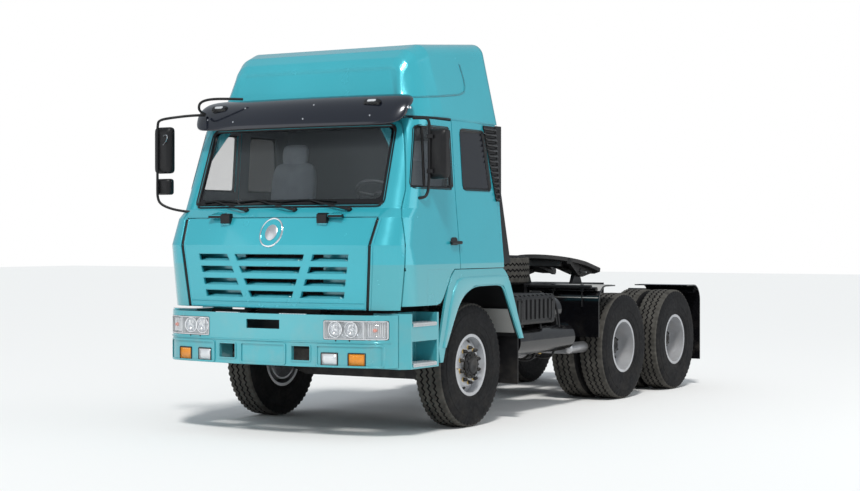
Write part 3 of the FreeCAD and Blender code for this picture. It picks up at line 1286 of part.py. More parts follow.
def grille_slots():
    """Four rows of three slots, with slanted bars between them."""
    tools = []
    span = d.slot_high - d.slot_low
    for row in range(4):
        low = d.slot_low + row * d.slot_pitch
        high = low + d.slot_tall
        ends = []
        for z in (low, high):
            share = (z - d.slot_low) / span
            out = d.slot_out_low + (d.slot_out_high - d.slot_out_low) * share
            mid = d.slot_mid_low + (d.slot_mid_high - d.slot_mid_low) * share
            ends.append((z, out, mid))
        (z0, out0, mid0), (z1, out1, mid1) = ends
        shapes = [("middle", [(-mid0, z0), (mid0, z0), (mid1, z1), (-mid1, z1)])]
        for side in (-1, 1):
            shapes.append(("side_%d" % (side + 1), [
                (side * (mid0 + d.slot_bar), z0), (side * out0, z0), (side * out1, z1),
                (side * (mid1 + d.slot_bar), z1),
            ]))
        for word, points in shapes:
            tools.append(plate("slot_%d_%s" % (row, word), "YZ", points, axle + d.bulkhead_x,
                               axle + d.front_overhang + 50))
    return fused("grille_slots", tools)


# Roof, visor, intake stack and mirrors
ROOF = [
    (-440, 1150, 985, 3410, 110), (450, 1130, 935, 3330, 120), (600, 1120, 900, 3275, 120),
    (690, 1105, 865, 3200, 110), (735, 1095, 840, 3130, 100), (790, 1075, 880, 2930, 60),
    (830, 1050, 930, 2790, 40), (900, 1010, 960, 2690, 6),
]


def roof_form(name, inset, drop):
    """The high roof as sections across the cab, each with rounded shoulders."""
    sections = []
    for index, (x, half, top_half, top, bend) in enumerate(ROOF):
        end = inset if index == 0 else (-inset if index == len(ROOF) - 1 else 0)
        low = d.gutter_z - drop
        high = lift(top) - inset
        side = half - inset
        shoulder = top_half - inset
        round_off = max(bend - inset.value, 4) if index < len(ROOF) - 1 else 4
        lean = (side - shoulder) / (high - low)
        curve = root((lean + 1) * (lean + 1) + 1) * round_off * 0.75
        sections.append((axle + x + end, [
            (-side, low), (side, low), (shoulder + lean * round_off, high - round_off, curve),
            (shoulder - round_off, high), (-shoulder + round_off, high, curve),
            (-shoulder - lean * round_off, high - round_off),
        ]))
    return lofted(name, "YZ", sections)


VISOR_ENDS = [(0, 0, 1.0), (600, 31, 1.0), (900, 69, 1.0), (1010, 120, 0.85), (1080, 250, 0.45)]


def visor_section(shift, tall):
    """The visor's profile at one place across the cab, set back by a shift and less tall towards its ends."""
    middle = 2720
    rear = axle + d.visor_rear - max(shift - 90, 0) * 1.1
    front = axle - shift
    outline_points = [
        (rear, 2852), (front + 874, 2852), (front + 1040, 2790), (front + 1158, 2650), (front + 1181, 2597),
        (front + 1203, 2600), (front + 1179, 2660), (front + 1053, 2810), (front + 880, 2875), (rear, 2875),
    ]
    return [(x, middle + (z - middle) * tall) for x, z in outline_points]


def cab_top(outer):
    roof_outer = roof_form("roof_outer", lift(0), lift(0))
    roof_inner = roof_form("roof_inner", d.roof_wall, lift(30))
    node("cab_roof", cut("cab_roof", roof_outer, roof_inner))
    sections = [(lift(y), visor_section(shift, tall)) for y, shift, tall in reversed(VISOR_ENDS[1:])]
    sections += [(lift(-y), visor_section(shift, tall)) for y, shift, tall in VISOR_ENDS]
    visor = lofted("visor_band", "XZ", sections)
    node("sun_visor", cut("sun_visor", visor, fused("cab_body", [outer, roof_outer])))
    stack = [
        (d.stack_in_low, d.stack_low), (d.stack_out_low, d.stack_low), (d.stack_out_high, d.stack_shoulder),
        (d.stack_out_high, d.stack_top), (d.stack_in_high, d.stack_top), (d.stack_in_high,
                                                            d.stack_shoulder),
    ]
    node("air_intake", plate("air_intake", "YZ", stack, axle + d.stack_rear, axle + d.cab_rear))
    return roof_outer


def mirrors(outer, roof_outer):
    tube = d.mirror_tube
    thick = d.mirror_thick
    x = axle + d.mirror_left_x + thick + tube
    head_in = d.mirror_reach - d.mirror_head_wide
    post_y = head_in + 3 * tube
    low = d.mirror_left_low - 160
    high = d.mirror_left_high + 65
    pieces = [
        block("left_head", (x - tube - thick, x - tube + 2), (head_in, d.mirror_reach),
              (d.mirror_left_low, d.mirror_left_high)),
        rod("left_post", "Z", (x, post_y, low), high - low, tube),
        rod("left_upper_arm", "Y", (x, post_y - d.mirror_arm, high), d.mirror_arm, tube),
        rod("left_lower_arm", "Y", (x, post_y - d.mirror_arm, low), d.mirror_arm, tube),
    ]
    node("mirror_left", cut("mirror_left", fused("left_mirror_frame", pieces), outer))

    x = axle + d.mirror_right_x + thick + tube
    post_y = -d.mirror_post_y
    low = lift(1892)
    high = lift(2712)
    pieces = [
        block("right_head", (x - tube - thick, x - tube + 2), (-d.mirror_reach, -head_in - 20),
              (d.mirror_right_low, d.mirror_right_high)),
        block("right_small_head", (x - tube - thick, x - tube + 2), (-d.mirror_reach + 40, -head_in - 20),
              (d.small_mirror_low, d.small_mirror_high)),
        rod("right_post", "Z", (x, post_y, low), high - low, tube),
        rod("right_lower_arm", "Y", (x, post_y, low), lift(400), tube),
        rod("right_upper_arm", "Y", (x, post_y, high), lift(125), tube),
        rod("right_long_arm", "X", (axle + 650, post_y + 125, high), x - axle - 650, tube),
    ]
    body = fused("cab_and_roof", [outer, roof_outer])
    node("mirror_right", cut("mirror_right", fused("right_mirror_frame", pieces), body))


# Inside the cab
def cab_inside(inner):
    floor = d.floor_high + d.floor_thick
    x = axle + d.seat_rear
    side_view = [
        (x + 100, floor), (x + 520, floor), (x + 540, floor + 290), (x + 510, floor + 370), (x + 200,
                                                            floor + 350),
        (x + 110, floor + 830), (x + 100, floor + 1080), (x, floor + 1080), (x + 10,
                                                            floor + 830), (x + 40, floor + 400),
    ]
    seats = []
    for side in (-1, 1):
        low, high = sided(side, d.seat_offset - d.seat_width / 2 + 65,
                          d.seat_offset + d.seat_width / 2 + 65)
        seats.append(plate("seat_%d" % (side + 1), "XZ", side_view, low, high))
    rear = axle + d.cab_rear + d.cab_wall
    for side in (-1, 1):
        seats.append(block("bunk_%d" % (side + 1), (rear, axle + d.bunk_front), sided(side, d.tunnel_half,
                                                            d.bunk_half),
                           (floor, floor + d.bunk_thick)))
    node("seats", together("seats", seats))
    dash = [
        (axle + d.dash_rear, d.dash_low), (axle + d.bulkhead_x, d.dash_low), (axle + d.bulkhead_x,
                                                            d.lid_top_z - 20),
        (axle + d.bulkhead_x - 70, d.dash_high - 10), (axle + d.dash_rear + 60, d.dash_high),
        (axle + d.dash_rear, d.dash_high - 60),
    ]
    dash_body = plate("dashboard", "XZ", dash, -d.dash_half, d.dash_half)
    node("dashboard", dash_body)
    ring = doc.addObject("Part::Torus", "steering_ring")
    bind(ring, "Radius1", d.steering_radius)
    bind(ring, "Radius2", d.steering_rim)
    spoke = block("steering_spoke", (lift(-20), lift(20)), (-d.steering_radius, d.steering_radius), (-10,
                                                            lift(10)))
    hub = rod("steering_hub", "Z", (0, 0, -20), lift(40), 2 * d.column_radius)
    column = rod("steering_column", "Z", (0, 0, -400), lift(390), d.column_radius)
    wheel = fused("steering_assembly", [ring, spoke, hub, column])
    wheel.Placement = FreeCAD.Placement(V(), FreeCAD.Rotation(V(0, -1, 0), 90 - d.steering_tilt.value))
    bind(wheel, "Placement.Rotation.Angle", 90 - d.steering_tilt)
    move(wheel, axle + d.steering_x, d.seat_offset + 65, d.steering_z)
    node("steering_wheel", cut("steering_wheel", wheel, dash_body))


frame()
power_unit()
front_axle()
front_spring()
steering()
rear_axles()
rear_springs()
side_equipment()
spare_wheel()
coupling()
rear_guards()
bumper_and_lamps()
steps()
fenders()
wheels()
cab_outer, cab_inner = cab()
roof = cab_top(cab_outer)
mirrors(cab_outer, roof)
cab_inside(cab_inner)
doc.recompute()

for thing in doc.Objects:
    if "Invalid" in thing.State or "Error" in thing.State:
        raise RuntimeError("%s is %s" % (thing.Name, thing.State))
os.makedirs("parts", exist_ok=True)
for name, thing in nodes.items():
    shape = thing.Shape
    if shape.isNull() or not shape.isValid():
        raise RuntimeError("%s has no valid shape" % name)
    print("%-20s solids %d volume %.5f m3" % (name, len(shape.Solids), shape.Volume / 1e9))
    shape.exportStep("parts/%s.step" % name)
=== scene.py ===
"""Looks of a high-roofed three-axle semi truck tractor unit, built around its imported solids."""
import json
import math

import bmesh
import bpy
from mathutils import Matrix, Vector
from mathutils.bvhtree import BVHTree


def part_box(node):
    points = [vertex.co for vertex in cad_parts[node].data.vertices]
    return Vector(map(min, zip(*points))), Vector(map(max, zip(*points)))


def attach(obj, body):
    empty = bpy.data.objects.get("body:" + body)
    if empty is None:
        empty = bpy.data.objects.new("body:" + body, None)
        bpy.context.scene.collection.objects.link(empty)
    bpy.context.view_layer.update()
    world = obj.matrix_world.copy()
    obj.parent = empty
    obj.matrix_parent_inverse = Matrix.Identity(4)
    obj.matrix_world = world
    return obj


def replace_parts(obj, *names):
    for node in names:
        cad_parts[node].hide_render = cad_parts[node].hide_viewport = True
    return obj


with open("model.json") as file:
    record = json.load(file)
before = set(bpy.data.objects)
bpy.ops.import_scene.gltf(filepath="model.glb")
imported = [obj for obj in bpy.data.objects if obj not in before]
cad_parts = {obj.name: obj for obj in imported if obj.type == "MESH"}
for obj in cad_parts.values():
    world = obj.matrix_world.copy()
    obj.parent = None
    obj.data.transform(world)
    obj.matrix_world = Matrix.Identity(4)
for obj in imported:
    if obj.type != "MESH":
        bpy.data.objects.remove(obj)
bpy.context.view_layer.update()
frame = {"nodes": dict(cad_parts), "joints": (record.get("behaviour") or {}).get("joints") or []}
nodes = frame["nodes"]
joints = {joint["name"]: joint["pos_m"] for joint in frame["joints"]}
axle_x, track_half, hub_z = joints["wheel_front_left_spin"]
middle_x, twin_y = joints["wheels_middle_left_spin"][:2]
rear_x = joints["wheels_rear_left_spin"][0]
SIDES = (("left", 1), ("right", -1))
TWIN_ROWS = (("middle", middle_x), ("rear", rear_x))
TURN = 2 * math.pi


def ahead(x, y, z):
    """A point given from the front axle."""
    return (axle_x + x, y, z)


def placed(name, data, place=(0, 0, 0), way=None):
    """An object in the scene, turned to look or shine one way if that is given."""
    made = bpy.data.objects.new(name, data)
    bpy.context.scene.collection.objects.link(made)
    made.location = place
    if way:
        made.rotation_mode = "QUATERNION"
        made.rotation_quaternion = Vector(way).to_track_quat("-Z", "Y")
    return made


# Camera, floor and lamps
VIEW_YAW, VIEW_PITCH = math.radians(180 + 30.82), math.radians(-0.30)
EYE = (13.279, 8.636, 1.673)
SENSOR_WIDTH, FOCAL_LENGTH = 36, 72.75
SUN_POWER, SUN_SPREAD, SUN_WAY = 2.3, math.radians(9), (-0.62, -0.34, -0.95)
FLOOR_REACH = 60
FLOOR_COLOUR = (0.88, 0.88, 0.87, 1)
SKY_COLOUR, SKY_STRENGTH = (0.86, 0.93, 1.0, 1), 0.50


def camera():
    """The photograph's viewpoint, in front of the left corner."""
    data = bpy.data.cameras.new("camera")
    data.sensor_width = SENSOR_WIDTH
    data.lens = FOCAL_LENGTH
    data.clip_end = 200
    level = math.cos(VIEW_PITCH)
    way = (math.cos(VIEW_YAW) * level, math.sin(VIEW_YAW) * level, math.sin(VIEW_PITCH))
    bpy.context.scene.camera = placed("camera", data, ahead(*EYE), way)


def area_lamp(name, place, target, power, size):
    data = bpy.data.lights.new(name, "AREA")
    data.energy = power
    data.size = size
    placed(name, data, place, Vector(target) - Vector(place))


def stage():
    """A pale floor that fades into a white world, and soft lamps."""
    world = bpy.data.worlds.new("studio")
    bpy.context.scene.world = world
    world.use_nodes = True
    tree = world.node_tree
    tree.nodes.clear()
    out, seen, lit, path, mix, either = (tree.nodes.new("ShaderNode" + kind) for kind in (
        "OutputWorld", "Background", "Background", "LightPath", "MixShader", "Math"))
    seen.inputs["Color"].default_value = (1, 1, 1, 1)
    lit.inputs["Color"].default_value = SKY_COLOUR
    lit.inputs["Strength"].default_value = SKY_STRENGTH
    either.operation = "MAXIMUM"
    for source, target in ((path.outputs["Is Camera Ray"], either.inputs[0]),
                           (path.outputs["Is Transmission Ray"], either.inputs[1]),
                           (either.outputs[0], mix.inputs[0]), (lit.outputs[0], mix.inputs[1]),
                           (seen.outputs[0], mix.inputs[2]), (mix.outputs[0], out.inputs["Surface"])):
        tree.links.new(source, target)

    mesh = bpy.data.meshes.new("floor")
    edges = ((-1, -1), (1, -1), (1, 1), (-1, 1))
    mesh.from_pydata([(x * FLOOR_REACH, y * FLOOR_REACH, 0) for x, y in edges], [], [(0, 1, 2, 3)])
    pale = bpy.data.materials.new("floor")
    pale.use_nodes = True
    shader = pale.node_tree.nodes["Principled BSDF"]
    shader.inputs["Base Color"].default_value = FLOOR_COLOUR
    shader.inputs["Roughness"].default_value = 0.9
    mesh.materials.append(pale)
    placed("floor", mesh)

    sun = bpy.data.lights.new("sun", "SUN")
    sun.energy = SUN_POWER
    sun.angle = SUN_SPREAD
    sun.color = (1.0, 0.98, 0.95)
    placed("sun", sun, way=SUN_WAY)
    area_lamp("front_fill", ahead(10, -6, 4.0), ahead(1, 0, 1.2), 150, 8)
    area_lamp("side_fill", ahead(-3, 11, 4.5), ahead(-1, 1, 1.2), 230, 8)


# Materials
class Tree:
    """A material's node tree with short ways to add and join nodes."""

    def __init__(self, name):
        self.material = bpy.data.materials.new(name)
        self.material.use_nodes = True
        self.tree = self.material.node_tree
        self.shader = self.tree.nodes["Principled BSDF"]
        spots = self.add("TexCoord")
        self.place = spots.outputs["Object"]
        self.facing = spots.outputs["Normal"]

    def add(self, kind, **values):
        made = self.tree.nodes.new("ShaderNode" + kind)
        for name, value in values.items():
            setattr(made, name, value)
        return made

    def link(self, source, target):
        self.tree.links.new(source, target)

    def feed(self, name, source):
        self.link(source, self.shader.inputs[name])

    def noise(self, scale, detail=4.0, place=None):
        made = self.add("TexNoise")
        made.inputs["Scale"].default_value = scale
        made.inputs["Detail"].default_value = detail
        self.link(place or self.place, made.inputs["Vector"])
        return made.outputs["Fac"]

    def stretched(self, scales):
        made = self.add("Mapping")
        made.inputs["Scale"].default_value = scales
        self.link(self.place, made.inputs["Vector"])
        return made.outputs["Vector"]

    def ranged(self, source, low, high, to_low=0.0, to_high=1.0):
        made = self.add("MapRange")
        self.link(source, made.inputs["Value"])
        for name, value in (("From Min", low), ("From Max", high), ("To Min", to_low), ("To Max", to_high)):
            made.inputs[name].default_value = value
        return made.outputs["Result"]

    def clouds(self, scale, detail, *limits):
        """Noise whose middle part is spread over a range."""
        return self.ranged(self.noise(scale, detail), *limits)

    def calc(self, kind, first, second):
        made = self.add("Math", operation=kind)
        for socket, value in zip(made.inputs, (first, second)):
            if isinstance(value, (int, float)):
                socket.default_value = value
            else:
                self.link(value, socket)
        return made.outputs[0]

    def inward(self, centre):
        """1 on faces that look towards a centre, such as the inside of a shell, and 0 on the others."""
        away = self.add("VectorMath", operation="SUBTRACT")
        self.link(self.place, away.inputs[0])
        away.inputs[1].default_value = centre
        turned = self.add("VectorMath", operation="DOT_PRODUCT")
        self.link(away.outputs[0], turned.inputs[0])
        self.link(self.facing, turned.inputs[1])
        return self.ranged(turned.outputs["Value"], -0.02, -0.04)

    def split(self, axis):
        made = self.add("SeparateXYZ")
        self.link(self.place, made.inputs[0])
        return made.outputs[axis]

    def mixed(self, share, first, second):
        made = self.add("Mix", data_type="RGBA")
        self.link(share, made.inputs["Factor"])
        for socket, value in ((made.inputs[6], first), (made.inputs[7], second)):
            if isinstance(value, tuple):
                socket.default_value = (*value, 1)
            else:
                self.link(value, socket)
        return made.outputs[2]

    def bump(self, source, strength, distance=0.001, under=None):
        """Raises the surface by a source, over the direction of another one if that is given."""
        made = self.add("Bump")
        made.inputs["Strength"].default_value = strength
        made.inputs["Distance"].default_value = distance
        self.link(source, made.inputs["Height"])
        if under:
            self.link(under, made.inputs["Normal"])
        self.feed("Normal", made.outputs["Normal"])

    def dirt(self, top, low, patches, share):
        """Patches of dust that thin out from one height up to another."""
        fade = self.ranged(self.split("Z"), top, low)
        return self.calc("MULTIPLY", self.calc("MULTIPLY", fade, self.clouds(*patches)), share)

    def set(self, **values):
        for name, value in values.items():
            socket = self.shader.inputs[name.replace("_", " ").title().replace("Ior", "IOR")]
            socket.default_value = value


def scaled(colour, share):
    return tuple(min(1.0, part * share) for part in colour)


def finish_of(name, colour, roughness, shade=(0.12, 2.5), grain=None, dust=None,
              dust_colour=(0.30, 0.27, 0.23), **values):
    """A finish with cloudy shade (depth, scale), fine grain (depth, scale) and dust (share, top height)."""
    made = Tree(name)
    depth, scale = shade
    cloud = made.clouds(scale, 4, 0.3, 0.7)
    base = made.mixed(cloud, scaled(colour, 1 - depth), scaled(colour, 1 + depth))
    rough = made.clouds(scale * 7, 4, 0.25, 0.75, roughness * 0.85, roughness * 1.15)
    if dust:
        share = made.dirt(dust[1], 0.0, (9.0, 7, 0.42, 0.72), dust[0])
        base = made.mixed(share, base, dust_colour)
        rough = made.calc("ADD", rough, made.calc("MULTIPLY", share, 0.4))
    made.feed("Base Color", base)
    made.feed("Roughness", rough)
    if grain:
        made.bump(made.noise(grain[1], 3), grain[0])
    made.set(**values)
    return made.material


TURQUOISE = (0.034, 0.400, 0.485)
# A greyer turquoise mixed into the lower paint: a painted reflection of the pale ground.
GROUND_REFLECTED_TURQUOISE = (0.120, 0.360, 0.372)
LINING = (0.16, 0.175, 0.20)
ROAD_DUST = (0.32, 0.33, 0.30)
# Heights over which the painted ground reflection comes in, from nothing above to its full share below.
GROUND_REFLECTION_LINE = (1.445, 1.435)
COAT, METAL = 0.8, 0.25


def paint(name, colour=TURQUOISE, flake=0.22, roughness=0.24, dust=0.10, edge=0.006, ground_reflection=False,
          lined=False):
    """Metallic paint under a clear coat, with edges that catch light, a painted reflection of the pale ground
    that greys its lower part when asked, and a dark lining inside a shell.
    """
    made = Tree(name)
    base = made.mixed(made.clouds(0.9, 2, 0.3, 0.7), scaled(colour, 0.95), scaled(colour, 1.05))
    flakes = made.clouds(900.0, 1, 0.35, 0.65)
    base = made.mixed(made.calc("MULTIPLY", flakes, flake), base, scaled(colour, 1.35))
    # Painted reflection: below the crease the paint is mixed towards a greyer turquoise, as if it mirrored
    # the pale ground.
    if ground_reflection:
        base = made.mixed(made.ranged(made.split("Z"), *GROUND_REFLECTION_LINE, 0.0, 0.4), base, GROUND_REFLECTED_TURQUOISE)
    base = made.mixed(made.dirt(1.15, 0.35, (6.0, 8, 0.45, 0.75), dust * 4), base, ROAD_DUST)
    rough = made.clouds(5.0, 4, 0.3, 0.7, roughness * 0.9, roughness * 1.15)
    made.set(coat_weight=COAT, metallic=METAL, coat_roughness=0.06)
    if lined:
        inside = made.inward(ahead(0.35, 0, 2.0))
        outside = made.calc("SUBTRACT", 1.0, inside)
        base = made.mixed(inside, base, LINING)
        rough = made.calc("MAXIMUM", rough, made.calc("MULTIPLY", inside, 0.75))
        made.feed("Coat Weight", made.calc("MULTIPLY", outside, COAT))
        made.feed("Metallic", made.calc("MULTIPLY", outside, METAL))
    made.feed("Base Color", base)
    made.feed("Roughness", rough)
    rounded = made.add("Bevel", samples=4)
    rounded.inputs["Radius"].default_value = edge
    made.bump(made.noise(16.0, 1), 0.03, 0.004, rounded.outputs["Normal"])
    return made.material


def pane(name, colour, alpha, roughness=0.03):
    """Glass that shows what is behind it, with faint streaks of dust."""
    made = Tree(name)
    streaks = made.ranged(made.noise(2.0, 5, made.stretched((1, 1, 0.25))), 0.35, 0.75, 0.0, 0.35)
    made.feed("Base Color", made.mixed(streaks, colour, scaled(colour, 1.8)))
    made.feed("Roughness", made.clouds(5.0, 4, 0.3, 0.7, roughness, roughness * 2.5))
    made.set(alpha=alpha, metallic=0.0)
    return made.material


def ribbed(name, colour, axis, pitch, depth, **values):
    """A finish with fine straight ribs across one axis, as in lamp glass or chequer tread."""
    made = Tree(name)
    wave = made.calc("SINE", made.calc("MULTIPLY", made.split(axis), TURN / pitch), 0)
    made.bump(wave, 1.0, depth)
    made.feed("Base Color", made.mixed(made.noise(20.0), scaled(colour, 0.9), scaled(colour, 1.1)))
    made.set(**values)
    return made.material


def woven(name, colour):
    """Seat cloth with a crossed weave and soft shade."""
    made = Tree(name)
    threads = [made.noise(1.0, 0, made.stretched(scales)) for scales in ((400, 1, 1), (1, 400, 400))]
    across, down = (made.calc("SINE", made.calc("MULTIPLY", thread, 60), 0) for thread in threads)
    made.bump(made.calc("MULTIPLY", across, down), 0.5, 0.0008)
    shade = made.clouds(6.0, 4, 0.3, 0.7)
    made.feed("Base Color", made.mixed(shade, scaled(colour, 0.85), scaled(colour, 1.15)))
    made.set(roughness=0.9, sheen_weight=0.3)
    return made.material


MATERIALS = {
    "paint": paint("paint_turquoise", ground_reflection=True),
    "lid": paint("paint_lid", edge=0.014),
    "shell": paint("paint_cab", ground_reflection=True, lined=True),
    "roof": paint("paint_roof", edge=0.05, lined=True),
    "navy": paint("paint_navy", (0.003, 0.005, 0.013), 0.06, 0.22, 0.03),
    "chassis": finish_of("chassis_black", (0.006, 0.006, 0.007), 0.42, shade=(0.2, 3.0), grain=(0.15, 120),
                         dust=(0.25, 1.2), specular_ior_level=0.35),
    "gloss_black": finish_of("gloss_black", (0.004, 0.004, 0.005), 0.12, shade=(0.2, 3.0), grain=(0.03, 60),
                             dust=(0.15, 0.9)),
    "plastic": finish_of("black_plastic", (0.006, 0.006, 0.007), 0.45, shade=(0.15, 4.0), grain=(0.25, 700),
                         dust=(0.15, 0.8), specular_ior_level=0.35),
    "grey_black": finish_of("louvre_plastic", (0.016, 0.016, 0.017), 0.35, shade=(0.1, 4.0),
                            grain=(0.1, 500)),
    "grey": finish_of("grey_plastic", (0.34, 0.34, 0.33), 0.55, shade=(0.12, 3.0), grain=(0.2, 500),
                      dust=(0.3, 1.2)),
    "rubber": finish_of("tyre_rubber", (0.008, 0.008, 0.009), 0.75, shade=(0.25, 5.0), grain=(0.35, 260),
                        dust=(0.22, 1.3), dust_colour=(0.075, 0.068, 0.060), specular_ior_level=0.2),
    "tread_rubber": finish_of("tyre_tread", (0.060, 0.057, 0.051), 0.8, shade=(0.35, 14.0), grain=(0.35, 260),
                              dust=(0.5, 1.6), dust_colour=(0.120, 0.112, 0.098), specular_ior_level=0.2),
    "silver": finish_of("rim_silver", (0.56, 0.57, 0.59), 0.36, shade=(0.06, 4.0), grain=(0.06, 300),
                        dust=(0.35, 1.2), dust_colour=(0.22, 0.19, 0.16), metallic=0.55),
    "steel": finish_of("bare_steel", (0.42, 0.42, 0.43), 0.34, shade=(0.15, 8.0), grain=(0.1, 200),
                       dust=(0.2, 0.9), metallic=0.9),
    "iron": finish_of("cast_iron", (0.035, 0.034, 0.034), 0.55, shade=(0.3, 6.0), grain=(0.5, 130),
                      dust=(0.35, 1.4), metallic=0.5),
    "aluminium": finish_of("aluminium", (0.66, 0.67, 0.69), 0.30, shade=(0.08, 6.0), grain=(0.05, 300),
                           metallic=0.9),
    "chrome": finish_of("chrome", (0.86, 0.87, 0.89), 0.07, shade=(0.03, 6.0), metallic=1.0),
    "lamp_back": finish_of("lamp_reflector", (0.50, 0.53, 0.56), 0.16, shade=(0.12, 30.0), metallic=0.85),
    "lamp_white": finish_of("lamp_housing", (0.70, 0.72, 0.74), 0.22, shade=(0.05, 9.0), metallic=0.35),
    "brass": finish_of("brass", (0.62, 0.43, 0.16), 0.30, shade=(0.1, 12.0), metallic=0.9),
    "amber": ribbed("amber_lens", (0.85, 0.30, 0.02), "Y", 0.012, 0.002, roughness=0.12, coat_weight=0.6),
    "orange": ribbed("orange_marker", (0.80, 0.13, 0.03), "Z", 0.008, 0.001, roughness=0.25, coat_weight=0.4),
    "red": ribbed("red_lens", (0.45, 0.01, 0.01), "Z", 0.012, 0.002, roughness=0.14, coat_weight=0.6),
    "tread": ribbed("step_tread", (0.68, 0.69, 0.70), "X", 0.022, 0.003, roughness=0.3, metallic=0.85),
    "glass": pane("window_glass", (0.10, 0.115, 0.12), 0.15),
    "dark_glass": pane("quarter_glass", (0.012, 0.013, 0.017), 0.94),
    "lamp_glass": pane("lamp_glass", (0.75, 0.78, 0.80), 0.16, 0.02),
    "mirror": finish_of("mirror_face", (0.80, 0.82, 0.84), 0.03, shade=(0.02, 4.0), metallic=1.0),
    "cloth": woven("seat_cloth", (0.42, 0.47, 0.53)),
    "trim": finish_of("cab_trim", (0.34, 0.36, 0.39), 0.6, shade=(0.1, 4.0), grain=(0.3, 500)),
    "dark_trim": finish_of("dark_trim", (0.05, 0.055, 0.065), 0.6, shade=(0.1, 4.0), grain=(0.3, 500)),
}


# Mesh building
def to_mesh(name, bm):
    bmesh.ops.recalc_face_normals(bm, faces=bm.faces)
    mesh = bpy.data.meshes.new(name)
    bm.to_mesh(mesh)
    bm.free()
    return mesh


def riding(name, data, material, body):
    """A piece that wears a material and rides on a body."""
    made = placed(name, data)
    if not data.materials:
        data.materials.append(MATERIALS[material])
    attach(made, body)
    return made


def piece(name, bm, material, body, bevel=0.0, smooth=32):
    """Turns what was built in a bmesh into a piece, with its edges rounded by a bevel."""
    mesh = bm if isinstance(bm, bpy.types.Mesh) else to_mesh(name, bm)
    mesh.polygons.foreach_set("use_smooth", [True] * len(mesh.polygons))
    mesh.set_sharp_from_angle(angle=math.radians(smooth))
    made = riding(name, mesh, material, body)
    if bevel:
        edge = made.modifiers.new("bevel", "BEVEL")
        edge.width = bevel
        edge.segments = 2
        edge.limit_method = "ANGLE"
        edge.angle_limit = math.radians(40)
        edge.harden_normals = True
    return made


def thicken(made, thickness, offset=-1):
    shell = made.modifiers.new("thickness", "SOLIDIFY")
    shell.thickness = thickness
    shell.offset = offset


def soften(made, levels):
    fine = made.modifiers.new("fine", "SUBSURF")
    fine.levels = levels
    fine.render_levels = levels


def add_faces(bm, points, faces, turn=None):
    """Adds points and faces, moved by a matrix if one is given."""
    made = [bm.verts.new(turn @ Vector(p) if turn else p) for p in points]
    for face in faces:
        bm.faces.new([made[i] for i in face])


def add_box(bm, one, other, turn=None):
    """A box between two opposite corners."""
    (x0, x1), (y0, y1), (z0, z1) = (sorted(pair) for pair in zip(one, other))
    points = [(x0, y0, z0), (x1, y0, z0), (x1, y1, z0), (x0, y1, z0),
              (x0, y0, z1), (x1, y0, z1), (x1, y1, z1), (x0, y1, z1)]
    faces = [(0, 3, 2, 1), (4, 5, 6, 7), (0, 1, 5, 4), (1, 2, 6, 5), (2, 3, 7, 6), (3, 0, 4, 7)]
    add_faces(bm, points, faces, turn)


def add_prism(bm, outline, low, high, turn=None):
    """An outline of (x, y) points raised from low to high along z, then turned into place."""
    count = len(outline)
    points = [(x, y, low) for x, y in outline] + [(x, y, high) for x, y in outline]
    faces = [tuple(range(count))[::-1], tuple(range(count, 2 * count))]
    faces += [(i, (i + 1) % count, (i + 1) % count + count, i + count) for i in range(count)]
    add_faces(bm, points, faces, turn)


def add_rings(bm, rings, closed=False, caps=2):
    """Joins rings of points with faces, and caps both ends (2), the last one (1) or none (0)."""
    made = [[bm.verts.new(p) for p in ring] for ring in rings]
    count = len(rings[0])
    pairs = list(zip(made, made[1:]))
    if closed:
        pairs.append((made[-1], made[0]))
    for first, second in pairs:
        for i in range(count):
            j = (i + 1) % count
            bm.faces.new((first[i], first[j], second[j], second[i]))
    if caps > 1 and not closed:
        bm.faces.new(made[0][::-1])
    if caps and not closed:
        bm.faces.new(made[-1])


def add_sheet(bm, rows):
    """Joins rows of points with faces, open on all sides."""
    made = [[bm.verts.new(p) for p in row] for row in rows]
    for first, second in zip(made, made[1:]):
        for i in range(len(first) - 1):
            bm.faces.new((first[i], first[i + 1], second[i + 1], second[i]))


def steps(low, high, parts):
    """Evenly spaced values from low to high, both ends included."""
    return [low + (high - low) * step / parts for step in range(parts + 1)]


def circle(radius, count):
    return [(radius * math.cos(TURN * i / count), radius * math.sin(TURN * i / count)) for i in range(count)]


def frame_at(place, axis):
    """A matrix that takes local z to an axis at a place."""
    return Matrix.Translation(Vector(place)) @ Vector(axis).to_track_quat("Z", "Y").to_matrix().to_4x4()


def add_stack(bm, turn, outline, levels, caps=2):
    """One outline at several (height, size) levels of a turned frame, joined."""
    add_rings(bm, [[turn @ Vector((x * size, y * size, height)) for x, y in outline]
                   for height, size in levels], caps=caps)


def add_rod(bm, start, end, radius, count=16, tip=None):
    """A round bar, or a cone where tip gives another radius at its end."""
    along = Vector(end) - Vector(start)
    add_stack(bm, frame_at(start, along), circle(1, count), ((0, radius), (along.length, tip or radius)))


def add_turned(bm, profile, place, axis, count=40, caps=2):
    """A profile of (radius, distance) points turned round an axis."""
    add_stack(bm, frame_at(place, axis), circle(1, count), [(far, radius) for radius, far in profile], caps)


def add_bolt(bm, place, axis, size, tall):
    """A hexagon head with a washer under it."""
    turn = frame_at(place, axis)
    washer, edge = tall * 0.25, size * 0.58
    add_stack(bm, turn, circle(1, 12), ((0, size * 0.72), (washer, size * 0.72)))
    add_stack(bm, turn, circle(1, 6), ((washer, edge), (tall * 0.9, edge), (tall, size * 0.48)))


def add_hoop(bm, count, round_at):
    """A closed hoop from a function that gives the ring of points at an angle."""
    add_rings(bm, [round_at(TURN * step / count) for step in range(count)], closed=True)


def tube(name, points, radius, material, body):
    """A round bar or hose along points, as a smooth curve."""
    data = bpy.data.curves.new(name, "CURVE")
    data.dimensions = "3D"
    data.bevel_depth = radius
    data.bevel_resolution = 4
    data.use_fill_caps = True
    data.resolution_u = 8
    line = data.splines.new("NURBS")
    line.points.add(len(points) - 1)
    for spot, place in zip(line.points, points):
        spot.co = (*place, 1)
    line.order_u = 3
    line.use_endpoint_u = True
    return riding(name, data, material, body)


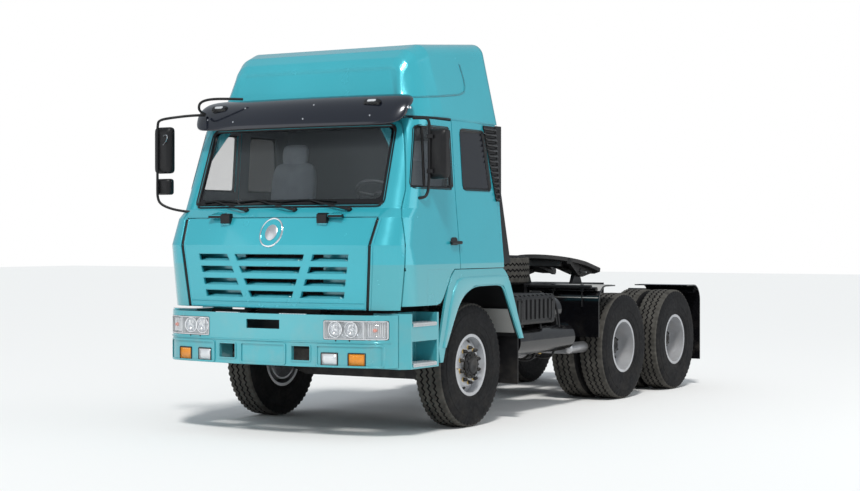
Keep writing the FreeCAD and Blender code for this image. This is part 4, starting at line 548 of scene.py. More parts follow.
def skin_of(*names):
    """A search tree over the rest shape of some CAD nodes."""
    points, faces = [], []
    for name in names:
        mesh = nodes[name].data
        first = len(points)
        points += [v.co.copy() for v in mesh.vertices]
        faces += [[first + i for i in face.vertices] for face in mesh.polygons]
    return BVHTree.FromPolygons(points, faces)


def skin_of_piece(made):
    """A search tree over a new piece with its modifiers applied."""
    bpy.context.view_layer.update()
    shaped = made.evaluated_get(bpy.context.evaluated_depsgraph_get())
    mesh = shaped.to_mesh()
    points = [made.matrix_world @ v.co for v in mesh.vertices]
    tree = BVHTree.FromPolygons(points, [tuple(face.vertices) for face in mesh.polygons])
    shaped.to_mesh_clear()
    return tree


def seat(skin, start, way):
    """Where a straight line from start meets a skin, and the skin's outward direction there.

    A line that slips through an open seam is tried again a little to one side and the other.
    """
    way = Vector(way).normalized()
    across = way.orthogonal()
    aside = way.cross(across)
    for reach in (0, 0.002, 0.006, 0.015, 0.03):
        for sideways in (across, -across, aside, -aside):
            place, normal, _, _ = skin.ray_cast(Vector(start) + sideways * reach, way)
            if place is not None:
                return place - sideways * reach, normal if normal.dot(way) < 0 else -normal
    raise RuntimeError("nothing is met from %s" % (tuple(start),))


CLEAR = 2


def from_front(skin, y, z):
    """Where a skin is met from the front, and its direction there."""
    return seat(skin, ahead(CLEAR, y, z), (-1, 0, 0))


def from_side(skin, sign, x, z):
    """Where a skin is met from one side, and its direction there."""
    return seat(skin, ahead(x, sign * CLEAR, z), (0, -sign, 0))


def front_place(skin):
    """A function that lays a (y, z) point on a skin from the front."""
    return lambda point: (from_front(skin, *point)[0], Vector((1, 0, 0)))


def side_place(skin, sign):
    """A function that lays an (x, z) point on a skin from one side."""
    return lambda point: (from_side(skin, sign, *point)[0], Vector((0, sign, 0)))


# Outlines
def rounded_loop(corners, radius, parts=6):
    """A closed outline with its corners rounded."""
    points = []
    corners = [Vector(corner) for corner in corners]
    for before, corner, after in zip(corners[-1:] + corners, corners, corners[1:] + corners[:1]):
        first = corner + (before - corner).normalized() * radius
        last = corner + (after - corner).normalized() * radius
        points += [first * (1 - share) ** 2 + corner * 2 * share * (1 - share) + last * share ** 2
                   for share in steps(0, 1, parts)]
    return points


def rounded_box(x0, x1, y0, y1, radius, parts=6):
    return rounded_loop(((x0, y0), (x1, y0), (x1, y1), (x0, y1)), radius, parts)


def dense(loop, pitch):
    """The same closed outline with points no further apart than a pitch."""
    points = []
    for first, last in zip(loop, loop[1:] + loop[:1]):
        parts = max(1, math.ceil((last - first).length / pitch))
        points += [first.lerp(last, step / parts) for step in range(parts)]
    return points


def grown(loop, gap):
    """A closed outline moved outwards, or inwards by a negative gap."""
    middle = sum(loop, Vector((0, 0))) / len(loop)
    moved = []
    for index, point in enumerate(loop):
        along = (loop[(index + 1) % len(loop)] - loop[index - 1]).normalized()
        out = Vector((along.y, -along.x))
        if out.dot(point - middle) < 0:
            out = -out
        moved.append(point + out * gap)
    return moved


def even(points, count):
    """The same line with points at even steps along it."""
    points = [Vector(p) for p in points]
    runs = [(b - a).length for a, b in zip(points, points[1:])]
    made = []
    for left in steps(0, sum(runs), count - 1):
        for run, a, b in zip(runs, points, points[1:]):
            if left <= run + 1e-9:
                made.append(a.lerp(b, min(1.0, left / run)))
                break
            left -= run
    return made


def band(name, outer, inner, project, lift, material, body, thick=0.004):
    """A flat band between two outlines, laid on a surface by a function and raised off it."""
    bm = bmesh.new()
    rings = []
    for (place, normal), (near, facing) in zip(map(project, outer), map(project, inner)):
        rings.append([place + normal * lift, near + facing * lift,
                      near - facing * thick, place - normal * thick])
    add_rings(bm, rings, closed=True)
    return piece(name, bm, material, body, smooth=50)


# Tyres and rims
TYRE_RADIUS, TYRE_HALF, TREAD_PITCHES = 0.545, 0.145, 58
SIDEWALL = [(0.106, 0.262), (0.122, 0.272), (0.131, 0.290), (0.134, 0.305), (0.1375, 0.308), (0.1385, 0.330),
            (0.1425, 0.366), (0.1445, 0.368), (TYRE_HALF, 0.400), (TYRE_HALF, 0.432), (0.1445, 0.458),
            (0.1415, 0.460), (0.1400, 0.486), (0.1335, 0.508)]
SHOULDERS = ([(0.1215, 0.521), (0.113, 0.5325)], [(0.1265, 0.529), (0.1165, 0.5415)])
HUB_RADIUS = 0.118
FRONT_STUD_RING, TWIN_STUD_RING = 0.152, 0.158
FRONT_HUB_TALL, TWIN_HUB_TALL = 0.028, 0.085
TWIN_DISH = 0.175
HOLE_RING, HOLE_RADIUS, HOLE_LONG = 0.207, 0.0175, 1.45


def tyre_mesh():
    """One tyre about the y axis: four ribs parted by zigzag grooves, with notched shoulders."""
    zigzag, groove_half, groove_deep, groove_lip = 0.0105, 0.0065, 0.015, 0.0025
    bm = bmesh.new()
    rings = []
    for step, (x, z) in enumerate(circle(1, TREAD_PITCHES * 4)):
        phase = step % 4
        side = SIDEWALL + SHOULDERS[phase > 1]
        tread = []
        for place in (-0.060, 0.0, 0.060):
            middle = place + zigzag * (-1, 0.33, 1, -0.33)[phase]
            crown = TYRE_RADIUS - 0.4 * place * place
            tread += [(middle - groove_half - groove_lip, crown), (middle - groove_half, crown - groove_deep),
                      (middle + groove_half, crown - groove_deep), (middle + groove_half + groove_lip, crown)]
        rings.append([(r * x, y, r * z) for y, r in [(-y, r) for y, r in side] + tread + side[::-1]])
    add_rings(bm, rings, closed=True)
    shoulder = len(SIDEWALL)
    worn = [shoulder + i for i in (0, 1, 5, 9, 13, 14)]
    for index, face in enumerate(bm.faces):
        face.material_index = int(index % len(rings[0]) in worn)
    return to_mesh("tyre", bm)


def put_tyres(one, node, body, places, turn=Matrix()):
    """Copies of one tyre at several places, as one piece in a CAD node's stead."""
    bm = bmesh.new()
    for place in places:
        first = len(bm.verts)
        bm.from_mesh(one)
        bm.verts.ensure_lookup_table()
        bmesh.ops.transform(bm, matrix=Matrix.Translation(place) @ turn, verts=bm.verts[first:])
    name = node + "_tread"
    mesh = to_mesh(name, bm)
    for material in ("rubber", "tread_rubber"):
        mesh.materials.append(MATERIALS[material])
    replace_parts(piece(name, mesh, "rubber", body, smooth=38), node)


def tyres():
    one = tyre_mesh()
    low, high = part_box("tyres_middle_left")
    half = (high.y - low.y) / 2 - TYRE_HALF
    for side, sign in SIDES:
        put_tyres(one, "tyre_front_" + side, "wheel_front_" + side, [(axle_x, sign * track_half, hub_z)])
        for row, x in TWIN_ROWS:
            ending = "%s_%s" % (row, side)
            places = [(x, sign * twin_y + shift, hub_z) for shift in (-half, half)]
            put_tyres(one, "tyres_" + ending, "wheels_" + ending, places)
    low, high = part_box("spare_tyre")
    put_tyres(one, "spare_tyre", "chassis", [(low + high) / 2], Matrix.Rotation(math.radians(90), 4, "X"))


def studs(name, hub, sign, radius, face_y, body, count=10):
    """Wheel nuts on their studs in a ring, with brass cones under them."""
    nuts, cones = bmesh.new(), bmesh.new()
    way = Vector((0, sign, 0))
    for index in range(count):
        angle = TURN * (index + 0.5) / count
        place = Vector((hub[0] + radius * math.cos(angle), face_y, hub[2] + radius * math.sin(angle)))
        add_turned(cones, [(0.0215, -0.002), (0.0215, 0.004), (0.019, 0.007)], place, way, 20)
        add_stack(nuts, frame_at(place + way * 0.007, way), circle(1, 6),
                  ((0, 0.0185), (0.022, 0.0185), (0.026, 0.0150)))
        add_rod(nuts, place + way * 0.030, place + way * 0.044, 0.0105, 12, 0.0095)
    piece(name + "_nuts", nuts, "iron", body, 0.0008)
    piece(name + "_cones", cones, "brass", body)


def hub_cover(name, hub, sign, base_y, tall, body):
    """A black hub with ribs, a ring of small bolts and a round cap."""
    bm = bmesh.new()
    way = Vector((0, sign, 0))
    place = Vector((hub[0], base_y, hub[2]))
    add_turned(bm, [(HUB_RADIUS * wide, far) for wide, far in (
        (1, -0.01), (1, tall * 0.35), (0.93, tall * 0.5), (0.66, tall * 0.55), (0.60, tall * 0.92),
        (0.54, tall), (0.30, tall), (0.26, tall * 0.93))], place, way, 48)
    for index in range(8):
        angle = TURN * index / 8
        spoke = frame_at(place, way) @ Matrix.Rotation(angle, 4, "Z")
        add_box(bm, (HUB_RADIUS * 0.5, -0.008, tall * 0.4), (HUB_RADIUS * 0.95, 0.008, tall * 0.68), spoke)
        out = Vector((math.cos(angle + 0.39), 0, math.sin(angle + 0.39))) * HUB_RADIUS * 0.8
        add_bolt(bm, place + way * tall * 0.5 + out, way, 0.014, 0.012)
    piece(name, bm, "chassis", body, 0.0015)


def rims():
    """Studs, hubs, hand holes and valves on the front rims, and the outer discs of the twin wheels."""
    for side, sign in SIDES:
        body = "wheel_front_" + side
        skin = skin_of("rim_front_" + side)
        hub = (axle_x, sign * track_half, hub_z)
        face, _ = from_side(skin, sign, FRONT_STUD_RING, hub_z)
        studs("front_" + side, hub, sign, FRONT_STUD_RING, face.y, body)
        cap = max(abs(corner.y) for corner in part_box("rim_front_" + side))
        hub_cover("front_hub_" + side, hub, sign, sign * (cap - 0.006), FRONT_HUB_TALL, body)
        holes = bmesh.new()
        for index in range(8):
            angle = TURN * (index + 0.25) / 8
            out, up = HOLE_RING * math.cos(angle), HOLE_RING * math.sin(angle)
            spot, normal = from_side(skin, sign, out, hub_z + up)
            along = Vector((-math.sin(angle), 0, math.cos(angle)))
            across = along.cross(normal).normalized()
            add_rings(holes, [[spot + normal * height + along * x * HOLE_LONG * share + across * y * share
                               for x, y in circle(HOLE_RADIUS, 24)]
                              for height, share in ((-0.004, 1.0), (0.0012, 1.0), (0.0016, 0.9))])
        piece("front_hand_holes_" + side, holes, "gloss_black", body, smooth=50)
        bm = bmesh.new()
        add_rod(bm, ahead(0.222, face.y - sign * 0.01, hub_z - 0.02),
                ahead(0.245, face.y + sign * 0.05, hub_z - 0.02), 0.006, 10, 0.004)
        piece("front_valve_" + side, bm, "brass", body)
        for row, x in TWIN_ROWS:
            ending = "%s_%s" % (row, side)
            body = "wheels_" + ending
            hub = (x, sign * twin_y, hub_z)
            face_y = sign * (max(abs(corner.y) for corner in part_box("rims_" + ending)) - TWIN_DISH)
            disc = bmesh.new()
            add_turned(disc, [(0.098, -0.012), (0.098, 0.0), (0.188, 0.0), (0.240, -0.045), (0.240, -0.057),
                              (0.184, -0.012)], (x, face_y, hub_z), (0, sign, 0), 56)
            piece("outer_disc_" + ending, disc, "silver", body, 0.002, 40)
            studs(ending, hub, sign, TWIN_STUD_RING, face_y, body)
            hub_cover("%s_hub_%s" % (row, side), hub, sign, face_y - sign * 0.002, TWIN_HUB_TALL, body)


# Frame, tanks and coupling
def bolt_rows():
    """Bolt heads along the frame's webs."""
    bm = bmesh.new()
    low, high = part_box("frame_rails")
    pitch, inset, first, last = 0.31, 0.06, 0.15, 0.3
    for sign in (-1, 1):
        x = low.x + first
        while x < high.x - last:
            for z in (low.z + inset, high.z - inset):
                add_bolt(bm, (x, sign * high.y, z), (0, sign, 0), 0.017, 0.012)
            x += pitch
    piece("frame_bolts", bm, "chassis", "chassis")


def battery_cover():
    """The ribbed cover of the battery box with its rounded corners."""
    low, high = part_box("battery_box")
    bm = bmesh.new()
    add_box(bm, low, high)
    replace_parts(piece("battery_cover", bm, "plastic", "chassis", 0.03, 45), "battery_box")
    ribs = bmesh.new()
    parts = 8
    half = (high.x - low.x - 0.12) / parts * 0.27
    for x in steps(low.x + 0.06, high.x - 0.06, parts):
        add_box(ribs, (x - half, high.y - 0.02, low.z + 0.05), (x + half, high.y + 0.012, high.z - 0.035))
        add_box(ribs, (x - half, low.y + 0.04, high.z - 0.01), (x + half, high.y - 0.01, high.z + 0.008))
    piece("battery_ribs", ribs, "plastic", "chassis", 0.006, 45)
    straps = bmesh.new()
    for x in (low.x + 0.10, high.x - 0.10):
        face = high.y + 0.0145
        add_box(straps, (x - 0.012, high.y + 0.010, low.z + 0.02), (x + 0.012, face, high.z - 0.02))
        add_bolt(straps, (x, face, high.z - 0.05), (0, 1, 0), 0.011, 0.01)
    piece("battery_straps", straps, "chassis", "chassis", 0.001)


def tank_bands():
    """Bands, drains and hose loops of the air tanks."""
    low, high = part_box("air_tanks")
    bands, brass = bmesh.new(), bmesh.new()
    radius = min((high.z - low.z) / 2, 0.16)
    z = (low.z + high.z) / 2
    first, middle, last = (low.x + (high.x - low.x) * share for share in (0.18, 0.5, 0.82))
    far_y = seat(skin_of("air_tanks"), (middle, CLEAR, z), (0, -1, 0))[0].y
    y = far_y - radius
    for x in (first, last):
        add_turned(bands, [(radius + 0.004, -0.02), (radius + 0.004, 0.02)], (x, y, z), (1, 0, 0), 40)
        add_rod(brass, (x + 0.06, y, low.z - 0.03), (x + 0.06, y, low.z + 0.03), 0.012, 6)
        add_rod(brass, (x + 0.035, y, low.z - 0.022), (x + 0.085, y, low.z - 0.022), 0.006, 8)
    piece("tank_bands", bands, "chassis", "chassis", 0.001)
    piece("tank_drains", brass, "brass", "chassis", 0.001)
    for index, x in enumerate((first + 0.02, middle + 0.05)):
        points = [(x, y + 0.04, high.z - 0.01), (x, y + 0.13, high.z + 0.03),
                  (x + 0.01, far_y + 0.035, z + 0.05), (x + 0.02, far_y + 0.035, z - 0.08),
                  (x + 0.03, far_y - 0.02, low.z - 0.05), (x + 0.08, y + 0.05, low.z - 0.07),
                  (x + 0.12, y - 0.05, low.z - 0.03), (x + 0.12, y - 0.12, low.z + 0.02)]
        tube("tank_hose_%d" % index, points, 0.011, "plastic", "chassis")


def coupling_details():
    """The jaw lever of the coupling plate, and the bolts of its base."""
    low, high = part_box("fifth_wheel_plate")
    bm = bmesh.new()
    x = (low.x + high.x) / 2 + 0.05
    add_rod(bm, (x, high.y - 0.17, low.z + 0.05), (x, high.y, low.z + 0.05), 0.010, 12)
    piece("jaw_lever", bm, "steel", "fifth_wheel", 0.001)
    bolts = bmesh.new()
    low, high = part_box("fifth_wheel_base")
    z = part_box("frame_rails")[1].z + 0.012
    rail_y = 0.40
    for y in (-rail_y, rail_y):
        for share in (0.12, 0.32, 0.5, 0.68, 0.88):
            add_bolt(bolts, (low.x + (high.x - low.x) * share, y, z), (0, 0, 1), 0.016, 0.014)
    piece("coupling_bolts", bolts, "chassis", "chassis")


def tail_lamps():
    """Red, amber and clear lenses in the two rear lamps."""
    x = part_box("lamps")[0].x
    width, reach, deep, gap, rim = 0.30, 0.92, 0.055, 0.004, 0.006
    lens_low, lens_high, above = 0.80, 0.87, 0.015
    for side, sign in SIDES:
        bm = bmesh.new()
        add_box(bm, (x, sign * (reach + rim), lens_low - above),
                (x + deep, sign * (reach - width - rim), lens_high + above))
        piece("tail_housing_" + side, bm, "plastic", "chassis", 0.006)
        for name, material, start, end in (("amber", "amber", 0.0, 0.30), ("red", "red", 0.32, 0.78),
                                           ("clear", "lamp_white", 0.80, 1.0)):
            bm = bmesh.new()
            add_box(bm, (x - 0.006, sign * (reach - width * start - gap), lens_low),
                    (x + 0.002, sign * (reach - width * end + gap), lens_high))
            piece("tail_lens_%s_%s" % (name, side), bm, material, "chassis", 0.003)


# Cab outside
SCREEN_FOOT = 1.935
SCREEN = ((-0.967, SCREEN_FOOT), (0.967, SCREEN_FOOT), (0.946, 2.600), (-0.946, 2.600))
DOOR_WINDOW = ((1.042, 2.080), (0.893, 2.600), (0.405, 2.600), (0.405, 2.080))
QUARTER_WINDOW = ((0.220, 2.080), (0.220, 2.600), (-0.200, 2.600), (-0.280, 2.080))


def screen():
    """The rubber round the windscreen, and the black border printed on the glass."""
    opening = dense(rounded_loop(SCREEN, 0.055), 0.06)
    band("screen_rubber", grown(opening, 0.018), grown(opening, -0.012),
         front_place(skin_of("cab_front", "cab_glass")), 0.007, "plastic", "cab", 0.01)
    inner = [Vector((p.x * 0.965, SCREEN_FOOT + 0.050 + (p.y - SCREEN_FOOT) * 0.90)) for p in opening]
    band("screen_border", grown(opening, -0.010), inner, front_place(skin_of("cab_glass")), 0.0015,
         "gloss_black", "cab", 0.001)


def wipers():
    """Three wipers parked along the lower edge of the windscreen."""
    cowl = skin_of("cab_front")
    glass = skin_of("cab_glass", "cab_front")
    foot_z, elbow_z, blade_z, sag = 1.893, 1.985, 1.965, 0.015
    for index, (y, reach) in enumerate(((-0.345, 0.54), (0.165, 0.63), (0.690, 0.71))):
        foot, _ = from_front(cowl, y, foot_z)
        elbow = from_front(glass, y - 0.42, elbow_z)[0] + Vector((0.030, 0, 0))
        knee = foot + Vector((0.030, -0.05, 0.014))
        bm = bmesh.new()
        profile = [(0.020, -0.02), (0.020, 0.020), (0.014, 0.030), (0.010, 0.032)]
        add_turned(bm, profile, foot, (1, 0, 0.35), 16)
        add_rod(bm, foot + Vector((0.022, 0, 0.005)), knee, 0.011, 10)
        add_rod(bm, knee, elbow, 0.0095, 8, 0.006)
        blade = []
        for share in steps(0, 1, 8):
            across, up = y - reach + (reach - 0.16) * share, blade_z + sag * math.sin(math.pi * share)
            blade.append(from_front(glass, across, up)[0] + Vector((0.010, 0, 0)))
        rail = Vector((0.012, 0, 0.004))
        for first, last in zip(blade, blade[1:]):
            add_rod(bm, first, last, 0.006, 6)
            add_rod(bm, first + rail, last + rail, 0.0035, 6)
        for place in blade[1::2]:
            add_rod(bm, place, place + Vector((0.016, 0, 0.006)), 0.005, 6)
        piece("wiper_%d" % index, bm, "plastic", "cab", smooth=45)


def hinge_dress():
    """Black covers over the lid's two hinges, one half on the lid and one on the cab."""
    hinge_x, hinge_z = 1.368, 1.843
    turn = Matrix.Translation(ahead(hinge_x, 0, hinge_z)) @ Matrix.Rotation(math.radians(90), 4, "X")
    for side, sign in SIDES:
        for word, body, start, end, tall, out, foot in (
                ("inner", "front_lid", 0.450, 0.548, 0.026, 0.030, 0.066),
                ("outer", "cab", 0.551, 0.690, 0.014, 0.016, 0.014)):
            bm = bmesh.new()
            low, high = sorted((sign * start, sign * end))
            outline = [(-0.020, -foot), (out, -foot * 0.9), (out, tall * 0.5), (0.004, tall),
                       (-0.022, tall * 0.9)]
            add_prism(bm, outline, -high, -low, turn)
            piece("lid_hinge_%s_%s" % (word, side), bm, "plastic", body, 0.004)


def badge():
    """A plain polished ring and a plain disc on the lid."""
    skin = skin_of("front_lid")
    middle_y, middle_z, ring_wide, ring_tall, disc_radius = 0.010, 1.705, 0.110, 0.118, 0.060
    _, normal = from_front(skin, middle_y, middle_z)
    section = ((-0.007, -0.01), (-0.006, 0.006), (0, 0.009), (0.006, 0.006), (0.007, -0.01))

    def on_lid(across, up, height):
        return from_front(skin, middle_y + across, middle_z + up)[0] + normal * height

    def round_lid(angle):
        return [on_lid(math.cos(angle) * (ring_wide + out), math.sin(angle) * (ring_tall + out), up)
                for out, up in section]

    ring = bmesh.new()
    add_hoop(ring, 64, round_lid)
    piece("badge_ring", ring, "chrome", "front_lid", smooth=60)
    disc = bmesh.new()
    add_rings(disc, [[on_lid(x * share, y * share * 1.1, height) for x, y in circle(disc_radius, 40)]
                     for height, share in ((-0.006, 1.0), (0.004, 1.0), (0.007, 0.92))])
    piece("badge_disc", disc, "aluminium", "front_lid", smooth=50)


SLOT_LOW, SLOT_HIGH, SLOT_PITCH, SLOT_POST = 1.160, 1.525, 0.103, 0.083


def grille_slots():
    """The folded ledge under each slot of the lid and the dark net behind them."""
    skin = skin_of("front_lid")
    ledges = bmesh.new()
    for row in range(4):
        low = SLOT_LOW + row * SLOT_PITCH
        share = (low - SLOT_LOW) / (SLOT_HIGH - SLOT_LOW)
        outer = 0.709 + 0.064 * share
        middle = 0.212 + 0.148 * share
        for start, end in ((-outer, -middle - SLOT_POST), (-middle, middle), (middle + SLOT_POST, outer)):
            line = [(from_front(skin, y, low - 0.006)[0].x, y) for y in steps(start, end, 6)]
            add_sheet(ledges, [[(x - back, y, low + up) for x, y in line]
                               for back, up in ((0.002, 0.001), (0.050, 0.020), (0.054, 0.026))])
    thicken(piece("slot_ledges", ledges, "lid", "front_lid"), 0.003)
    net = bmesh.new()
    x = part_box("front_lid")[1].x - 0.30
    half, low, high, margin = 0.72, 1.12, 1.57, 0.02
    for y in steps(-half, half, 63):
        add_box(net, (x, y - 0.003, low), (x + 0.006, y + 0.003, high))
    for z in steps(low + margin, high - 0.025, 9):
        add_box(net, (x - 0.004, -half - margin, z - 0.002), (x + 0.002, half + margin, z + 0.002))
    add_box(net, (x - 0.02, -half - 2 * margin, low - margin), (x - 0.014, half + 2 * margin, high + 0.03))
    piece("cooler_net", net, "chassis", "cab")


def corner_markers():
    """Orange side markers on the cab's front corners."""
    marker_x, marker_z = 1.215, 1.502
    for side, sign in SIDES:
        bm = bmesh.new()
        turn = frame_at(*from_side(skin_of("cab_front"), sign, marker_x, marker_z))
        add_box(bm, (-0.042, -0.030, -0.01), (0.042, 0.030, 0.014), turn)
        piece("corner_marker_" + side, bm, "orange", "cab", 0.004)


def window_rubber(name, corners, radius, inset, skin, sign, body):
    """The rubber frame of one side window, and the outline that it follows."""
    opening = dense(rounded_loop(corners, radius), 0.08)
    band(name, grown(opening, 0.010), grown(opening, -inset), side_place(skin, sign), 0.005, "plastic",
         body, 0.018)
    return opening


def side_windows():
    """Rubber frames of the side windows, the upright bar in the door window and the dark rear panes."""
    for side, sign in SIDES:
        door, pane_name = "door_" + side, "door_glass_" + side
        window_rubber("door_window_rubber_" + side, DOOR_WINDOW, 0.045, 0.016, skin_of(door, pane_name),
                      sign, door)
        bm = bmesh.new()
        out = Vector((0, sign, 0))
        low, high = (from_side(skin_of(pane_name), sign, x, z)[0] + out * 0.004
                     for x, z in ((0.857, 2.095), (0.827, 2.585)))
        add_rod(bm, low, high, 0.013, 8)
        piece("door_window_bar_" + side, bm, "plastic", door)
        opening = window_rubber("quarter_rubber_" + side, QUARTER_WINDOW, 0.055, 0.018,
                                skin_of("cab_sides", "cab_glass"), sign, "cab")
        glass = skin_of("cab_glass")
        bm = bmesh.new()
        rim = [from_side(glass, sign, *point)[0] + out * 0.003 for point in grown(opening, -0.014)]
        count = len(rim)
        add_faces(bm, rim + [sum(rim, Vector()) / count], [(i, (i + 1) % count, count) for i in range(count)])
        piece("quarter_pane_" + side, bm, "dark_glass", "cab", smooth=80)


def door_fittings():
    """Door handles with their recess, key lock, and the rain rail over the door."""
    handle_x, handle_z, rail_z = 0.445, 1.620, 2.6715
    for side, sign in SIDES:
        door = "door_" + side
        x, y, z = from_side(skin_of(door), sign, handle_x, handle_z)[0]
        bm = bmesh.new()
        turn = frame_at((x, y + sign * 0.0015, z), (0, sign, 0))
        add_prism(bm, rounded_box(-0.055, 0.055, -0.045, 0.045, 0.035), -0.004, 0.0005, turn)
        piece("handle_dish_" + side, bm, "gloss_black", door)
        bm = bmesh.new()
        add_box(bm, (x - 0.095, y + sign * 0.004, z - 0.014), (x + 0.080, y + sign * 0.034, z + 0.014))
        piece("door_handle_" + side, bm, "plastic", door, 0.009, 45)
        bm = bmesh.new()
        profile = [(0.013, 0), (0.013, 0.006), (0.010, 0.008), (0.004, 0.008)]
        add_turned(bm, profile, (x - 0.105, y, z), (0, sign, 0), 20)
        piece("door_lock_" + side, bm, "chrome", door)
        skin = skin_of("cab_roof", "cab_sides", "cab_front")
        points = [from_side(skin, sign, x, rail_z)[0] + Vector((0, sign * 0.008, 0.006))
                  for x in steps(0.935, 0.375, 8)]
        tube("rain_rail_" + side, points, 0.009, "plastic", "cab")


VISOR_LINE = ((0.874, 2.868), (0.985, 2.862), (1.085, 2.805), (1.150, 2.715), (1.178, 2.650), (1.196, 2.598))
VISOR_HEART = Vector((1.120, 2.745))
VISOR_THICK = 0.011
VISOR_STATIONS = (
    (0.0, 0.0, 1.0, 1.0), (0.30, 0.008, 1.0, 1.0), (0.60, 0.031, 1.0, 1.0), (0.82, 0.056, 1.0, 1.0),
    (0.94, 0.074, 0.98, 0.95), (1.00, 0.086, 0.93, 0.88), (1.04, 0.098, 0.84, 0.76),
    (1.07, 0.112, 0.68, 0.60), (1.088, 0.124, 0.45, 0.40), (1.094, 0.130, 0.20, 0.18))


def visor_ring(y, shift, tall, deep):
    """The visor's closed profile at one place across the cab, in full thickness."""
    heart_x, heart_z = VISOR_HEART
    line = [Vector((heart_x + (x - heart_x) * deep - shift, heart_z + (z - heart_z) * tall))
            for x, z in VISOR_LINE]
    outer, inner = [], []
    for index, point in enumerate(line):
        along = (line[min(index + 1, len(line) - 1)] - line[max(index - 1, 0)]).normalized()
        out = Vector((-along.y, along.x)) * VISOR_THICK
        outer.append(point + out)
        inner.append(point - out)
    return [ahead(p.x, y, p.y) for p in outer + inner[::-1]]


def sun_visor():
    """The smooth barrel-shaped visor with its rounded ends, lamps, rivets and end bolts."""
    bm = bmesh.new()
    stations = [(-y, *rest) for y, *rest in VISOR_STATIONS[:0:-1]] + list(VISOR_STATIONS)
    add_rings(bm, [visor_ring(*station) for station in stations])
    visor = piece("sun_visor_shell", bm, "navy", "cab", smooth=60)
    soften(visor, 2)
    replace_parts(visor, "sun_visor")
    skin = skin_of_piece(visor)
    rivets = bmesh.new()
    for y, z in ((-0.52, 2.79), (0.22, 2.79), (-0.60, 2.67), (0.16, 2.67), (0.80, 2.68), (-0.92, 2.70)):
        add_turned(rivets, [(0.008, -0.002), (0.007, 0.003), (0.003, 0.004)], *from_front(skin, y, z), 12)
    for sign in (-1, 1):
        for x in (0.955, 0.995):
            add_turned(rivets, [(0.011, -0.003), (0.010, 0.004), (0.004, 0.006)],
                       *from_side(skin, sign, x, VISOR_HEART.y), 12)
    piece("visor_rivets", rivets, "chrome", "cab")
    outline = rounded_box(-0.085, 0.085, -0.026, 0.026, 0.024)
    lens = [(x * 0.5, y * 0.45) for x, y in outline]
    marker_y, marker_shift, marker_z = 0.80, 0.02, 2.792
    for side, sign in SIDES:
        place, normal = from_front(skin, sign * marker_y - marker_shift, marker_z)
        across = Vector((0, 1, 0))
        up = normal.cross(across).normalized()
        turn = Matrix.Translation(place) @ Matrix((across, up, normal)).transposed().to_4x4()
        bm = bmesh.new()
        add_stack(bm, turn, outline, ((-0.03, 1.0), (0.012, 1.0), (0.022, 0.88)))
        piece("roof_marker_base_" + side, bm, "gloss_black", "cab", 0.003)
        bm = bmesh.new()
        add_stack(bm, turn, lens, ((0.018, 1.0), (0.026, 1.0), (0.030, 0.75)))
        piece("roof_marker_lens_" + side, bm, "lamp_white", "cab", smooth=50)


INTAKE_FOOT, INTAKE_TOP, INTAKE_MIDDLE_X = 1.985, 2.655, -0.40
INTAKE_LIFT, INTAKE_DEEP = 0.006, 0.02
LOUVRES, LOUVRE_OUT = 14, 0.020


def intake_edge(z):
    """How far the intake's slanted front edge lies from the front axle at a height."""
    corner_x, corner_z, slant = -0.205, 2.66, 0.245
    return corner_x - (corner_z - z) * slant


def intake_louvres():
    """The louvred intake that covers the cab's slanted rear edge over the stack."""
    skin = skin_of("cab_sides", "cab_back")
    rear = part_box("cab_back")[0].x - axle_x + 0.002
    tall = INTAKE_TOP - INTAKE_FOOT

    def on_cab(x, z, lift=INTAKE_LIFT):
        return Vector(ahead(x, from_side(skin, 1, x, z)[0].y + lift, z))

    heights = steps(INTAKE_FOOT, INTAKE_TOP, 24)
    back = bmesh.new()
    add_rings(back, [[on_cab(intake_edge(z), z, -INTAKE_DEEP), on_cab(intake_edge(z), z), on_cab(rear, z),
                      on_cab(rear, z, -INTAKE_DEEP)] for z in heights])
    piece("intake_panel", back, "plastic", "cab", smooth=60)
    bm = bmesh.new()
    half = tall / LOUVRES * 0.27
    for index in range(LOUVRES):
        z = INTAKE_FOOT + tall * (index + 0.5) / LOUVRES
        y = on_cab(INTAKE_MIDDLE_X, z).y
        front, end = intake_edge(z) + 0.022, rear + 0.012
        add_sheet(bm, [[ahead(x, y + far, z + up) for x in (front, end)]
                       for far, up in ((0, half), (LOUVRE_OUT, -half))])
    thicken(piece("intake_louvres", bm, "grey_black", "cab"), 0.004)
    bars = bmesh.new()
    for edge, shift in ((intake_edge, 0.008), (lambda z: rear, 0.005)):
        line = [on_cab(edge(z) + shift, z) for z in heights]
        for first, last in zip(line, line[1:]):
            add_rod(bars, first, last, 0.009, 6)
    piece("intake_frame", bars, "plastic", "cab")


# Mirrors
def mirror_shell(name, low, high, body):
    """A rounded mirror housing with its glass set in the rear face."""
    low, high = Vector(low), Vector(high)
    middle = (low + high) / 2
    half = (high - low) / 2
    loop = rounded_box(-half.y, half.y, -half.z, half.z, min(half.y, half.z) * 0.42, 5)
    bm = bmesh.new()
    add_rings(bm, [[(x, middle.y + p.x * share, middle.z + p.y * (1 - (1 - share) * 0.6)) for p in loop]
                   for x, share in ((low.x, 0.98), (low.x + half.x * 0.5, 1.0), (high.x - half.x * 0.6, 0.97),
                                    (high.x - half.x * 0.2, 0.86), (high.x + 0.008, 0.62))])
    piece(name, bm, "plastic", body, smooth=50)
    bm = bmesh.new()
    add_rings(bm, [[(x, middle.y + p.x * 0.9, middle.z + p.y * 0.94) for p in loop]
                   for x in (low.x - 0.0015, low.x + 0.004)])
    piece(name + "_glass", bm, "mirror", body)


